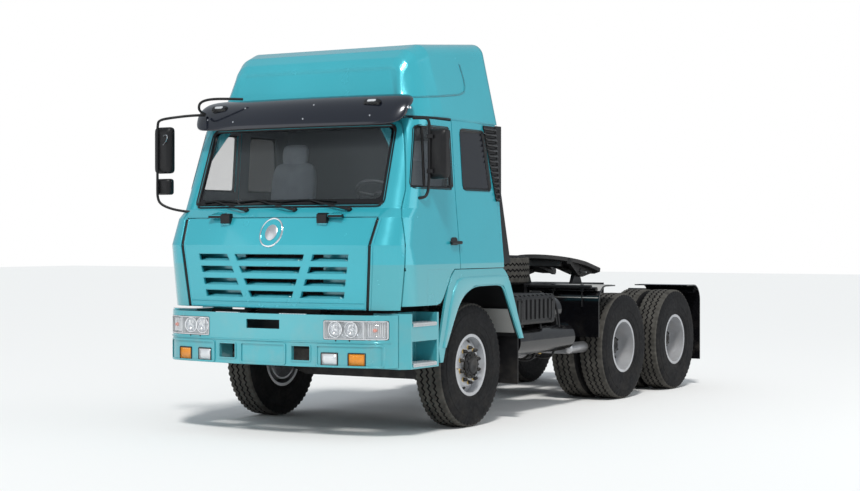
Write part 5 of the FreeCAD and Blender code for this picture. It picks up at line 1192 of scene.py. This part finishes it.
MIRROR_BARS = {
    "mirror_arm_left": ("door_left", 0.0125, (
        (1.005, 1.150, 2.652), (0.955, 1.185, 2.655), (0.902, 1.229, 2.655), (0.872, 1.229, 2.610),
        (0.872, 1.229, 2.500), (0.872, 1.229, 2.300), (0.882, 1.229, 2.080), (0.902, 1.219, 2.010),
        (0.937, 1.199, 1.992), (0.977, 1.179, 1.990))),
    "mirror_arm_right": ("cab", 0.0115, (
        (1.080, -0.960, 2.745), (1.150, -1.020, 2.745), (1.300, -1.190, 2.715), (1.300, -1.300, 2.700),
        (1.300, -1.320, 2.660), (1.300, -1.320, 2.450), (1.300, -1.320, 2.100), (1.300, -1.320, 2.020),
        (1.295, -1.295, 1.960), (1.260, -1.200, 1.915), (1.215, -1.060, 1.890), (1.180, -1.020, 1.888))),
    "mirror_hook_right": ("cab", 0.0115, (
        (1.060, -0.560, 2.872), (1.120, -0.720, 2.880), (1.165, -0.860, 2.876), (1.185, -0.935, 2.850),
        (1.180, -0.955, 2.800), (1.150, -0.950, 2.765), (1.110, -0.930, 2.750))),
}


def mirrors():
    """Rounded housings on bent arms, in place of the straight ones."""
    mirror_shell("mirror_shell_left", ahead(0.796, 1.190, 2.151), ahead(0.861, 1.380, 2.570), "door_left")
    mirror_shell("mirror_shell_right", ahead(1.218, -1.380, 2.229), ahead(1.285, -1.190, 2.641), "cab")
    mirror_shell("mirror_small_right", ahead(1.218, -1.370, 2.041), ahead(1.279, -1.200, 2.184), "cab")
    bars = {name: tube(name, [ahead(*p) for p in points], radius, "plastic", body)
            for name, (body, radius, points) in MIRROR_BARS.items()}
    for side, _ in SIDES:
        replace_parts(bars["mirror_arm_" + side], "mirror_" + side)
    clamps = bmesh.new()
    for z in (2.215, 2.505):
        add_box(clamps, ahead(0.842, 1.209, z - 0.018), ahead(0.888, 1.269, z + 0.018))
    piece("mirror_clamps_left", clamps, "plastic", "door_left", 0.004)
    ring = bmesh.new()
    centre = Vector(ahead(1.292, -1.262, 2.520))
    wide, thin = 0.062, 0.004

    def wire(angle):
        near, tall = math.cos(angle), math.sin(angle)
        out = Vector((0.3 * near, near, 0.62 * tall + 0.45 * near))
        return [centre + out * (wide + across) + Vector((up, 0, 0)) for across, up in circle(thin, 6)]

    add_hoop(ring, 32, wire)
    piece("mirror_chrome_ring", ring, "chrome", "cab")


# Bumper, lamps and steps, with their places from the ground and from the centre plane
LAMP_IN, LAMP_OUT, LAMP_LOW, LAMP_HIGH = 0.590, 1.120, 0.830, 0.985
LAMP_MIDDLE = (LAMP_LOW + LAMP_HIGH) / 2
LAMP_SPLIT = LAMP_IN + (LAMP_OUT - LAMP_IN) * 0.655
FOG_LOW, FOG_HIGH = 0.612, 0.722
FOG_LAMPS = (("clear", "lamp_white", 0.566, 0.720), ("amber", "amber", 0.806, 0.960))
STEP_REAR, STEP_FRONT, STEP_UPPER, STEP_LOWER = 0.766, 1.160, 0.9536, 0.6236


def lamp_patch(bm, skin, y0, y1, z0, z1, shift, columns):
    """A sheet that follows the lamp's face between two heights, set back by a shift."""
    add_sheet(bm, [[(from_front(skin, y, (z0 + z1) / 2)[0].x + shift, y, z) for z in steps(z0, z1, 2)]
                   for y in steps(y1, y0, columns)])


def lamp_bowl(bowls, bulbs, base, radius):
    """A hollow reflector with a lip, a bulb in its middle and ribs behind the glass."""
    way = (1, 0, 0)
    add_turned(bowls, [(radius, 0.0), (radius * 0.97, -0.012), (radius * 0.8, -0.030), (radius * 0.5, -0.043),
                       (radius * 0.2, -0.048)], base, way, 36, caps=1)
    lip = radius + 0.004
    add_turned(bowls, [(lip, -0.004), (lip, 0.002), (radius, 0.002), (radius, -0.004)], base, way, 36, caps=0)
    add_turned(bulbs, [(0.013, -0.045), (0.015, -0.02), (0.014, -0.008), (0.006, -0.002)], base, way, 16)
    for y in steps(base.y - 0.05, base.y + 0.05, 4):
        add_box(bowls, (base.x - 0.034, y - 0.001, base.z - 0.05), (base.x - 0.030, y + 0.001, base.z + 0.05))


def head_lamps():
    """Each headlamp: a bright tray, two reflectors with bulbs, an indicator part and a clear cover."""
    skin = skin_of("lamps")
    place = front_place(skin)
    around = front_place(skin_of("lamps", "bumper"))
    for side, sign in SIDES:
        tray = bmesh.new()
        lamp_patch(tray, skin, sign * LAMP_IN, sign * LAMP_OUT, LAMP_LOW, LAMP_HIGH, -0.055, 14)
        made = piece("headlamp_tray_" + side, tray, "lamp_back", "chassis")
        if side == "left":
            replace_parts(made, "lamps")
        outline = dense(rounded_box(sign * LAMP_IN, sign * LAMP_OUT, LAMP_LOW, LAMP_HIGH, 0.018), 0.06)
        edge = grown(outline, -0.001)
        band("headlamp_rim_" + side, edge, grown(outline, -0.007), place, 0.002, "lamp_white", "chassis",
             0.05)
        band("headlamp_seal_" + side, grown(outline, 0.003), edge, around, 0.001, "plastic", "chassis", 0.01)
        bowls, bulbs = bmesh.new(), bmesh.new()
        for centre, radius in ((LAMP_IN + 0.095, 0.062), (LAMP_IN + 0.235, 0.060)):
            base = from_front(skin, sign * centre, LAMP_MIDDLE)[0] + Vector((-0.012, 0, 0.004))
            lamp_bowl(bowls, bulbs, base, radius)
        piece("headlamp_bowls_" + side, bowls, "chrome", "chassis", smooth=40)
        piece("headlamp_bulbs_" + side, bulbs, "chrome", "chassis")
        wall = bmesh.new()
        x, y, _ = from_front(skin, sign * LAMP_SPLIT, LAMP_MIDDLE)[0]
        add_box(wall, (x - 0.05, y - 0.004, LAMP_LOW + 0.008), (x - 0.003, y + 0.004, LAMP_HIGH - 0.008))
        for y in steps(sign * (LAMP_SPLIT + 0.030), sign * (LAMP_OUT - 0.035), 8):
            x = from_front(skin, y, LAMP_MIDDLE)[0].x
            add_box(wall, (x - 0.045, y - 0.003, LAMP_LOW + 0.022), (x - 0.028, y + 0.003, LAMP_HIGH - 0.022))
        piece("headlamp_wall_" + side, wall, "lamp_white", "chassis")
        bulb = bmesh.new()
        spot, _ = from_front(skin, sign * (LAMP_SPLIT + 0.085), LAMP_MIDDLE)
        profile = [(0.012, -0.04), (0.017, -0.022), (0.015, -0.010), (0.006, -0.005)]
        add_turned(bulb, profile, spot, (1, 0, 0), 16)
        piece("indicator_bulb_" + side, bulb, "orange", "chassis")
        cover = bmesh.new()
        lamp_patch(cover, skin, sign * (LAMP_IN + 0.004), sign * (LAMP_OUT - 0.004), LAMP_LOW + 0.004,
                   LAMP_HIGH - 0.004, 0.0, 16)
        thicken(piece("headlamp_cover_" + side, cover, "lamp_glass", "chassis", smooth=80), 0.002)
        for word, material, near, far in FOG_LAMPS:
            bm = bmesh.new()
            lamp_patch(bm, skin, sign * (near + 0.006), sign * (far - 0.006), FOG_LOW + 0.006,
                       FOG_HIGH - 0.006, 0.004, 4)
            thicken(piece("fog_%s_%s" % (word, side), bm, material, "chassis"), 0.03)
            outline = dense(rounded_box(sign * near, sign * far, FOG_LOW, FOG_HIGH, 0.012), 0.08)
            band("fog_rim_%s_%s" % (word, side), outline, grown(outline, -0.008), place, 0.006, "gloss_black",
                 "chassis", 0.02)


ARCH_LIP = (
    (-0.728, 0.748), (-0.640, 0.880), (-0.544, 1.023), (-0.405, 1.232), (-0.300, 1.247), (-0.100, 1.247),
    (0.130, 1.243), (0.306, 1.172), (0.400, 1.080), (0.489, 0.942), (0.560, 0.820), (0.612, 0.735))
ARCH_IN = (
    (-0.728, 0.748), (-0.640, 0.880), (-0.544, 1.023), (-0.405, 1.232), (-0.300, 1.250), (-0.100, 1.250),
    (0.130, 1.246), (0.306, 1.176), (0.400, 1.084), (0.489, 0.945), (0.560, 0.822), (0.614, 0.735))
ARCH_OUT = (
    (-0.782, 0.757), (-0.748, 0.805), (-0.631, 1.060), (-0.516, 1.281), (-0.467, 1.321), (-0.329, 1.331),
    (0.009, 1.326), (0.328, 1.323), (0.417, 1.301), (0.453, 1.258), (0.490, 1.200), (0.548, 1.071),
    (0.606, 0.891), (0.664, 0.734))
FLARE_HIGH, FLARE_ROUND = 0.012, 0.012


def fender_flares():
    """The bright lip of each front wheel arch, and the raised flare from the arch to the fender's step."""
    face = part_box("front_fenders")[1].y
    for side, sign in SIDES:
        lip = [ahead(x, sign * (face - 0.004), z) for x, z in ARCH_LIP]
        tube("arch_lip_" + side, lip, 0.009, "paint", "chassis")
        bm = bmesh.new()
        rings = []
        for inner, outer in zip(even(ARCH_IN, 60), even(ARCH_OUT, 60)):
            toward = (outer - inner).normalized() * FLARE_ROUND
            line = ((inner, -0.003), (inner, 0.008), (inner + toward, FLARE_HIGH),
                    (outer - toward, FLARE_HIGH), (outer, 0.003), (outer, -0.003))
            rings.append([ahead(p.x, sign * (face + height), p.y) for p, height in line])
        add_rings(bm, rings)
        piece("fender_flare_" + side, bm, "paint", "chassis", smooth=35)


LID_EDGE = ((1.067, 0.902), (1.250, 0.920), (1.440, 0.938), (1.600, 0.953), (1.828, 0.975))
LID_TOP, LID_SKIN_FOOT, LID_HALF = 1.820, 1.075, 0.895


def lid_edges():
    """Rounded edges of the lid with a black strip beside them as painted shade of the gap, and the folds
    along its foot.
    """
    lid = skin_of("front_lid")
    shell = skin_of("cab_front")
    for side, sign in SIDES:
        beads, lips, rows = [], [], []
        for z, y in even(LID_EDGE, 30):
            z = min(z, LID_TOP)
            x = from_front(shell, sign * (y + 0.026), z)[0].x
            rows.append([(x + 0.003, sign * (y + out), z) for out in (0.002, 0.018, 0.032)])
            lips.append((x + 0.001, sign * (y + 0.038), z))
            x = from_front(lid, sign * (y - 0.006), max(z, LID_SKIN_FOOT))[0].x
            beads.append((x - 0.004, sign * (y - 0.006), z))
        # A black strip on the cab corner beside the lid: painted shade of the gap between them.
        gap = bmesh.new()
        add_sheet(gap, rows)
        thicken(piece("lid_gap_" + side, gap, "plastic", "cab"), 0.002)
        tube("lid_edge_" + side, beads, 0.0085, "lid", "front_lid")
        tube("corner_edge_" + side, lips, 0.0095, "paint", "cab")
    for name, radius, seen_z, z, back in (("lid_foot", 0.011, 1.080, 1.078, 0.004),
                                          ("lid_fold", 0.005, 1.122, 1.122, 0.002)):
        points = [(from_front(lid, y, seen_z)[0].x - back, y, z) for y in steps(-LID_HALF, LID_HALF, 24)]
        tube(name, points, radius, "lid", "front_lid")


CREASE_Z, CREASE_HALF = 0.806, 1.13
BUMPER_RIVET_Z = 0.822


def bumper_relief():
    """The crease across the bumper, the frames of its recesses, its rivets, treads and inner panel."""
    skin = skin_of("bumper")
    place = front_place(skin)
    points = [(from_front(skin, y, CREASE_Z)[0].x - 0.002, y, CREASE_Z)
              for y in steps(-CREASE_HALF, CREASE_HALF, 40)]
    tube("bumper_crease", points, 0.009, "paint", "chassis")
    frames = [("bumper_frame_left", 0.520, 1.100, 0.602, 0.790, 0.030, 0.06, 0.016, 0.010, 0.004),
              ("bumper_frame_right", -1.100, -0.520, 0.602, 0.790, 0.030, 0.06, 0.016, 0.010, 0.004),
              ("bumper_frame_middle", -0.235, 0.235, 0.606, 0.790, 0.030, 0.06, 0.016, 0.010, 0.004)]
    frames += [("tow_frame_" + side, sign * 0.280, sign * 0.476, 0.640, 0.780, 0.020, 0.05, 0.012, 0.007,
                0.03) for side, sign in SIDES]
    for name, y0, y1, z0, z1, corner, pitch, wide, lift, thick in frames:
        outline = dense(rounded_box(y0, y1, z0, z1, corner), pitch)
        band(name, outline, grown(outline, -wide), place, lift, "paint", "chassis", thick)
    for side, sign in SIDES:
        rivets = bmesh.new()
        for y in (0.70, 0.82):
            add_turned(rivets, [(0.007, -0.002), (0.006, 0.003), (0.003, 0.004)],
                       *from_front(skin, sign * y, BUMPER_RIVET_Z), 12)
        piece("bumper_rivets_" + side, rivets, "gloss_black", "chassis")
    treads = bmesh.new()
    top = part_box("bumper")[1].z
    for start, end in ((-0.507, -0.273), (0.173, 0.407)):
        for y in steps(start, end, 9):
            x = from_front(skin, y, top - 0.04)[0].x
            add_box(treads, (x - 0.026, y - 0.010, top - 0.002), (x - 0.006, y + 0.010, top + 0.005))
    piece("bumper_treads", treads, "tread", "chassis", 0.001)
    panel = bmesh.new()
    for sign in (-1, 1):
        add_box(panel, ahead(1.130, sign * 0.40, 0.800), ahead(1.140, sign * 0.84, 1.040))
        for y in (sign * 0.50, sign * 0.62, sign * 0.74):
            add_box(panel, ahead(1.138, y - 0.03, 0.820), ahead(1.150, y + 0.03, 1.020))
    piece("front_cross_panel", panel, "chassis", "chassis", 0.003)


ROOF_LINE = ((0.760, 2.848), (0.479, 2.872), (0.110, 2.912), (0.020, 2.940), (-0.018, 2.990), (-0.024, 3.060),
             (-0.005, 3.190))


def roof_panels():
    """The bead round the pressed panel on each side of the roof."""
    skin = skin_of("cab_roof")
    for side, sign in SIDES:
        out = Vector((0, sign * 0.001, 0))
        points = [from_side(skin, sign, *point)[0] + out for point in even(ROOF_LINE, 40)]
        tube("roof_bead_" + side, points, 0.007, "roof", "cab")


def wheel_well_sheets():
    """Light-grey sheets behind the front wheels and over the twin wheels' guards, and the guards' bars."""
    skin = skin_of("rear_mudguards")
    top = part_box("rear_mudguards")[1]
    for side, sign in SIDES:
        bm = bmesh.new()
        add_rings(bm, [[ahead(x, sign * y, z) for x, z in
                        ((-0.688, 0.800), (-0.554, 1.020), (-0.548, 1.016), (-0.682, 0.796))]
                       for y in (0.865, 1.200)])
        piece("wheel_well_sheet_" + side, bm, "grey", "chassis", 0.002)
        bm = bmesh.new()
        add_sheet(bm, [[seat(skin, (x, sign * y, 2), (0, 0, -1))[0] + Vector((0, 0, 0.003))
                        for y in (0.640, 1.190)] for x in steps(top.x - 0.008, top.x - 0.338, 6)])
        thicken(piece("guard_sheet_" + side, bm, "grey", "chassis"), 0.003, 0)
        x, z = top.x + 0.020, top.z - 0.012
        bar = bmesh.new()
        add_rod(bar, (x, sign * 0.42, z), (x, sign * 1.130, z), 0.019, 20)
        for y in (sign * 0.70, sign * 1.02):
            add_box(bar, (x - 0.026, y - 0.014, z - 0.050), (x + 0.004, y + 0.014, z + 0.024))
            add_rod(bar, (x - 0.006, y, z - 0.05), (x - 0.006, y, z - 0.20), 0.007, 8)
        piece("guard_bar_" + side, bar, "plastic", "chassis", 0.002, 45)


def step_treads():
    """Bright toothed treads on the two steps of each side."""
    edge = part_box("step_boxes")[1].y
    x0, x1 = axle_x + STEP_REAR + 0.01, axle_x + STEP_FRONT - 0.01
    pitch = 0.022
    parts = int((x1 - x0) / pitch) - 1
    for side, sign in SIDES:
        bm = bmesh.new()
        y_out = sign * (edge + 0.004)
        for z in (STEP_UPPER, STEP_LOWER):
            add_box(bm, (x0, y_out, z), (x1, sign * (edge - 0.15), z + 0.006))
            for x in steps(x0 + pitch / 2, x1 - pitch / 2, parts):
                for row in range(5):
                    y = y_out - sign * (0.012 + row * 0.028)
                    add_rod(bm, (x, y, z + 0.005), (x, y, z + 0.012), 0.006, 6, 0.003)
                add_rod(bm, (x, y_out - sign * 0.001, z - 0.010), (x, y_out + sign * 0.003, z - 0.010),
                        0.005, 6)
            add_box(bm, (x0, y_out, z - 0.022), (x1, y_out - sign * 0.004, z))
        piece("step_treads_" + side, bm, "tread", "chassis")


# Cab inside
CAB_FLOOR = 1.43
SEAT_CENTRE = 0.685
BUNK_HALF, BUNK_GAP = 1.05, 0.432


def seats():
    """Seats with crowned cushions, backs and head rests, and the bunk mattress behind them."""
    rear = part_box("seats")[0].x + 0.004
    bunk_low, bunk_high = CAB_FLOOR + 0.26, CAB_FLOOR + 0.345
    x = axle_x + 0.010
    for side, sign in SIDES:
        centre = sign * SEAT_CENTRE
        for word, size, place, lean in (
                ("cushion", (0.48, 0.50, 0.15), (x + 0.305, centre, CAB_FLOOR + 0.325), -4),
                ("back", (0.13, 0.48, 0.58), (x + 0.110, centre, CAB_FLOOR + 0.640), -7),
                ("headrest", (0.10, 0.27, 0.19), (x + 0.075, centre, CAB_FLOOR + 0.995), -7)):
            cushion("seat_%s_%s" % (word, side), size, place, lean)
        bm = bmesh.new()
        add_box(bm, (x + 0.11, centre - 0.20, CAB_FLOOR), (x + 0.50, centre + 0.20, CAB_FLOOR + 0.25))
        piece("seat_base_" + side, bm, "dark_trim", "cab", 0.02)
        posts = bmesh.new()
        for y in (centre - 0.06, centre + 0.06):
            add_rod(posts, (x + 0.083, y, CAB_FLOOR + 0.85), (x + 0.078, y, CAB_FLOOR + 0.97), 0.006, 8)
        piece("seat_posts_" + side, posts, "chrome", "cab")
    bm = bmesh.new()
    add_box(bm, (rear, -BUNK_HALF, bunk_low), (axle_x - 0.034, BUNK_HALF, bunk_high))
    piece("bunk_mattress", bm, "cloth", "cab", 0.035, 50)
    bm = bmesh.new()
    for sign in (-1, 1):
        add_box(bm, (rear, sign * BUNK_GAP, CAB_FLOOR), (axle_x - 0.036, sign * BUNK_HALF, bunk_low - 0.002))
    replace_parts(piece("bunk_base", bm, "dark_trim", "cab", 0.01), "seats")


def cushion(name, size, place, lean):
    """A crowned pad with pulled-in sides and two sewn channels."""
    bm = bmesh.new()
    bmesh.ops.create_cube(bm, size=1.0)
    bmesh.ops.subdivide_edges(bm, edges=bm.edges, cuts=7, use_grid_fill=True)
    flat = min(range(3), key=lambda i: size[i])
    wide = [i for i in range(3) if i != flat]
    for v in bm.verts:
        share = [2 * part for part in v.co]
        pull = [1.0, 1.0, 1.0]
        for i, other in (wide, wide[::-1]):
            pull[i] = 0.90 + 0.10 * (1 - abs(share[other]) ** 3) - 0.02 * abs(share[flat])
        channel = sum(0.10 * math.exp(-((share[1] - line) / 0.045) ** 2) for line in (-0.36, 0.36))
        crown = math.prod(1 - 0.55 * abs(share[i]) ** 4 for i in wide)
        pull[flat] = crown - (channel if abs(share[flat]) > 0.5 else 0)
        v.co = Vector([share[i] * size[i] / 2 * pull[i] for i in range(3)])
    turn = Matrix.Translation(place) @ Matrix.Rotation(math.radians(lean), 4, "Y")
    bmesh.ops.transform(bm, matrix=turn, verts=bm.verts)
    made = piece(name, bm, "cloth", "cab", smooth=180)
    soften(made, 1)
    return made


def dashboard():
    """A rounded dashboard with an instrument hood and vents."""
    low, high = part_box("dashboard")
    bm = bmesh.new()
    profile = [(low.x, low.z), (high.x, low.z), (high.x, high.z - 0.06), (high.x - 0.06, high.z - 0.030),
               (low.x + 0.24, high.z - 0.016), (low.x + 0.10, high.z - 0.022), (low.x + 0.03, high.z - 0.07),
               (low.x + 0.01, high.z - 0.16)]
    add_prism(bm, profile, -high.y, -low.y, Matrix.Rotation(math.radians(90), 4, "X"))
    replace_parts(piece("dashboard_skin", bm, "trim", "cab", 0.018, 45), "dashboard")
    bm = bmesh.new()
    half = 0.27
    rings = []
    for share, x in ((0.0, low.x + 0.02), (0.35, low.x + 0.05), (0.7, low.x + 0.16), (1.0, low.x + 0.26)):
        tall, wide = 0.075 * (1 - 0.75 * share), half * (1 - 0.15 * share)
        rings.append([(x, SEAT_CENTRE + wide * math.cos(angle), high.z - 0.025 + tall * math.sin(angle))
                      for angle in steps(0, math.pi, 14)] +
                     [(x, SEAT_CENTRE + y, high.z - 0.05) for y in (-half, half)])
    add_rings(bm, rings)
    piece("instrument_hood", bm, "dark_trim", "cab", smooth=50)
    bm = bmesh.new()
    for y in (-0.75, -0.42, -0.08, 0.24):
        for x in steps(low.x + 0.20, low.x + 0.254, 3):
            add_box(bm, (x, y - 0.09, high.z - 0.018), (x + 0.008, y + 0.09, high.z - 0.011))
    piece("dashboard_vents", bm, "dark_trim", "cab", 0.001)


def steering():
    """A rounded steering wheel with a boss, in place of the plain ring."""
    wide, thick = 0.230, 0.0155
    wheel_x, wheel_z, lean = 0.740, 2.010, math.radians(-35)
    turn = Matrix.Translation(ahead(wheel_x, SEAT_CENTRE, wheel_z)) @ Matrix.Rotation(lean, 4, "Y")

    def grip(angle):
        return [turn @ Vector(((wide + out) * math.cos(angle), (wide + out) * math.sin(angle), up))
                for out, up in circle(thick, 10)]

    bm = bmesh.new()
    add_hoop(bm, 56, grip)
    for angle in (110, 250, 290, 430):
        spoke = turn @ Matrix.Rotation(math.radians(angle), 4, "Z")
        add_box(bm, (0.05, -0.016, -0.012), (0.222, 0.016, 0.004), spoke)
    add_stack(bm, turn, circle(1, 28), ((-0.03, 0.050), (-0.012, 0.078), (0.010, 0.076), (0.018, 0.060)))
    add_rod(bm, turn @ Vector((0, 0, -0.02)), turn @ Vector((0, 0, -0.36)), 0.034, 16)
    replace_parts(piece("steering_wheel_rim", bm, "dark_trim", "cab", smooth=45), "steering_wheel")


# Which finish each CAD solid wears
FINISH = {
    "paint": ["bumper", "step_boxes", "front_fenders"],
    "lid": ["front_lid"],
    "shell": ["cab_front", "cab_sides", "cab_back", "door_left", "door_right"],
    "roof": ["cab_roof"],
    "navy": ["sun_visor"],
    "chassis": ["frame_rails", "frame_crossmembers", "radiator", "front_axle_beam", "front_springs",
                "rear_axles", "rear_springs", "spare_carrier", "fifth_wheel_base", "cab_floor"],
    "gloss_black": ["air_tanks", "rear_mudguards"],
    "plastic": ["air_intake", "mirror_left", "mirror_right", "fender_liners", "battery_box"],
    "glass": ["cab_glass", "door_glass_left", "door_glass_right"],
    "steel": ["exhaust", "tie_rod"],
    "aluminium": ["fuel_tank"],
    "iron": ["engine_block", "knuckle_left", "knuckle_right", "fifth_wheel_plate"],
    "lamp_white": ["lamps"],
    "trim": ["dashboard", "seats"],
    "dark_trim": ["steering_wheel"],
    "silver": [name for name in nodes if name.startswith("rim")],
}


def dress_solids():
    """Gives each CAD solid its finish."""
    for material, names in FINISH.items():
        for name in names:
            worn = nodes[name].data.materials
            worn.clear()
            worn.append(MATERIALS[material])


for build in (camera, stage, dress_solids, tyres, rims, bolt_rows, battery_cover, tank_bands,
              coupling_details, tail_lamps, screen, wipers, hinge_dress, badge, grille_slots, corner_markers,
              side_windows, door_fittings, sun_visor, intake_louvres, mirrors, head_lamps, fender_flares,
              lid_edges, bumper_relief, roof_panels, wheel_well_sheets, step_treads, seats, dashboard,
              steering):
    build()

bpy.context.scene.view_settings.view_transform = "Standard"
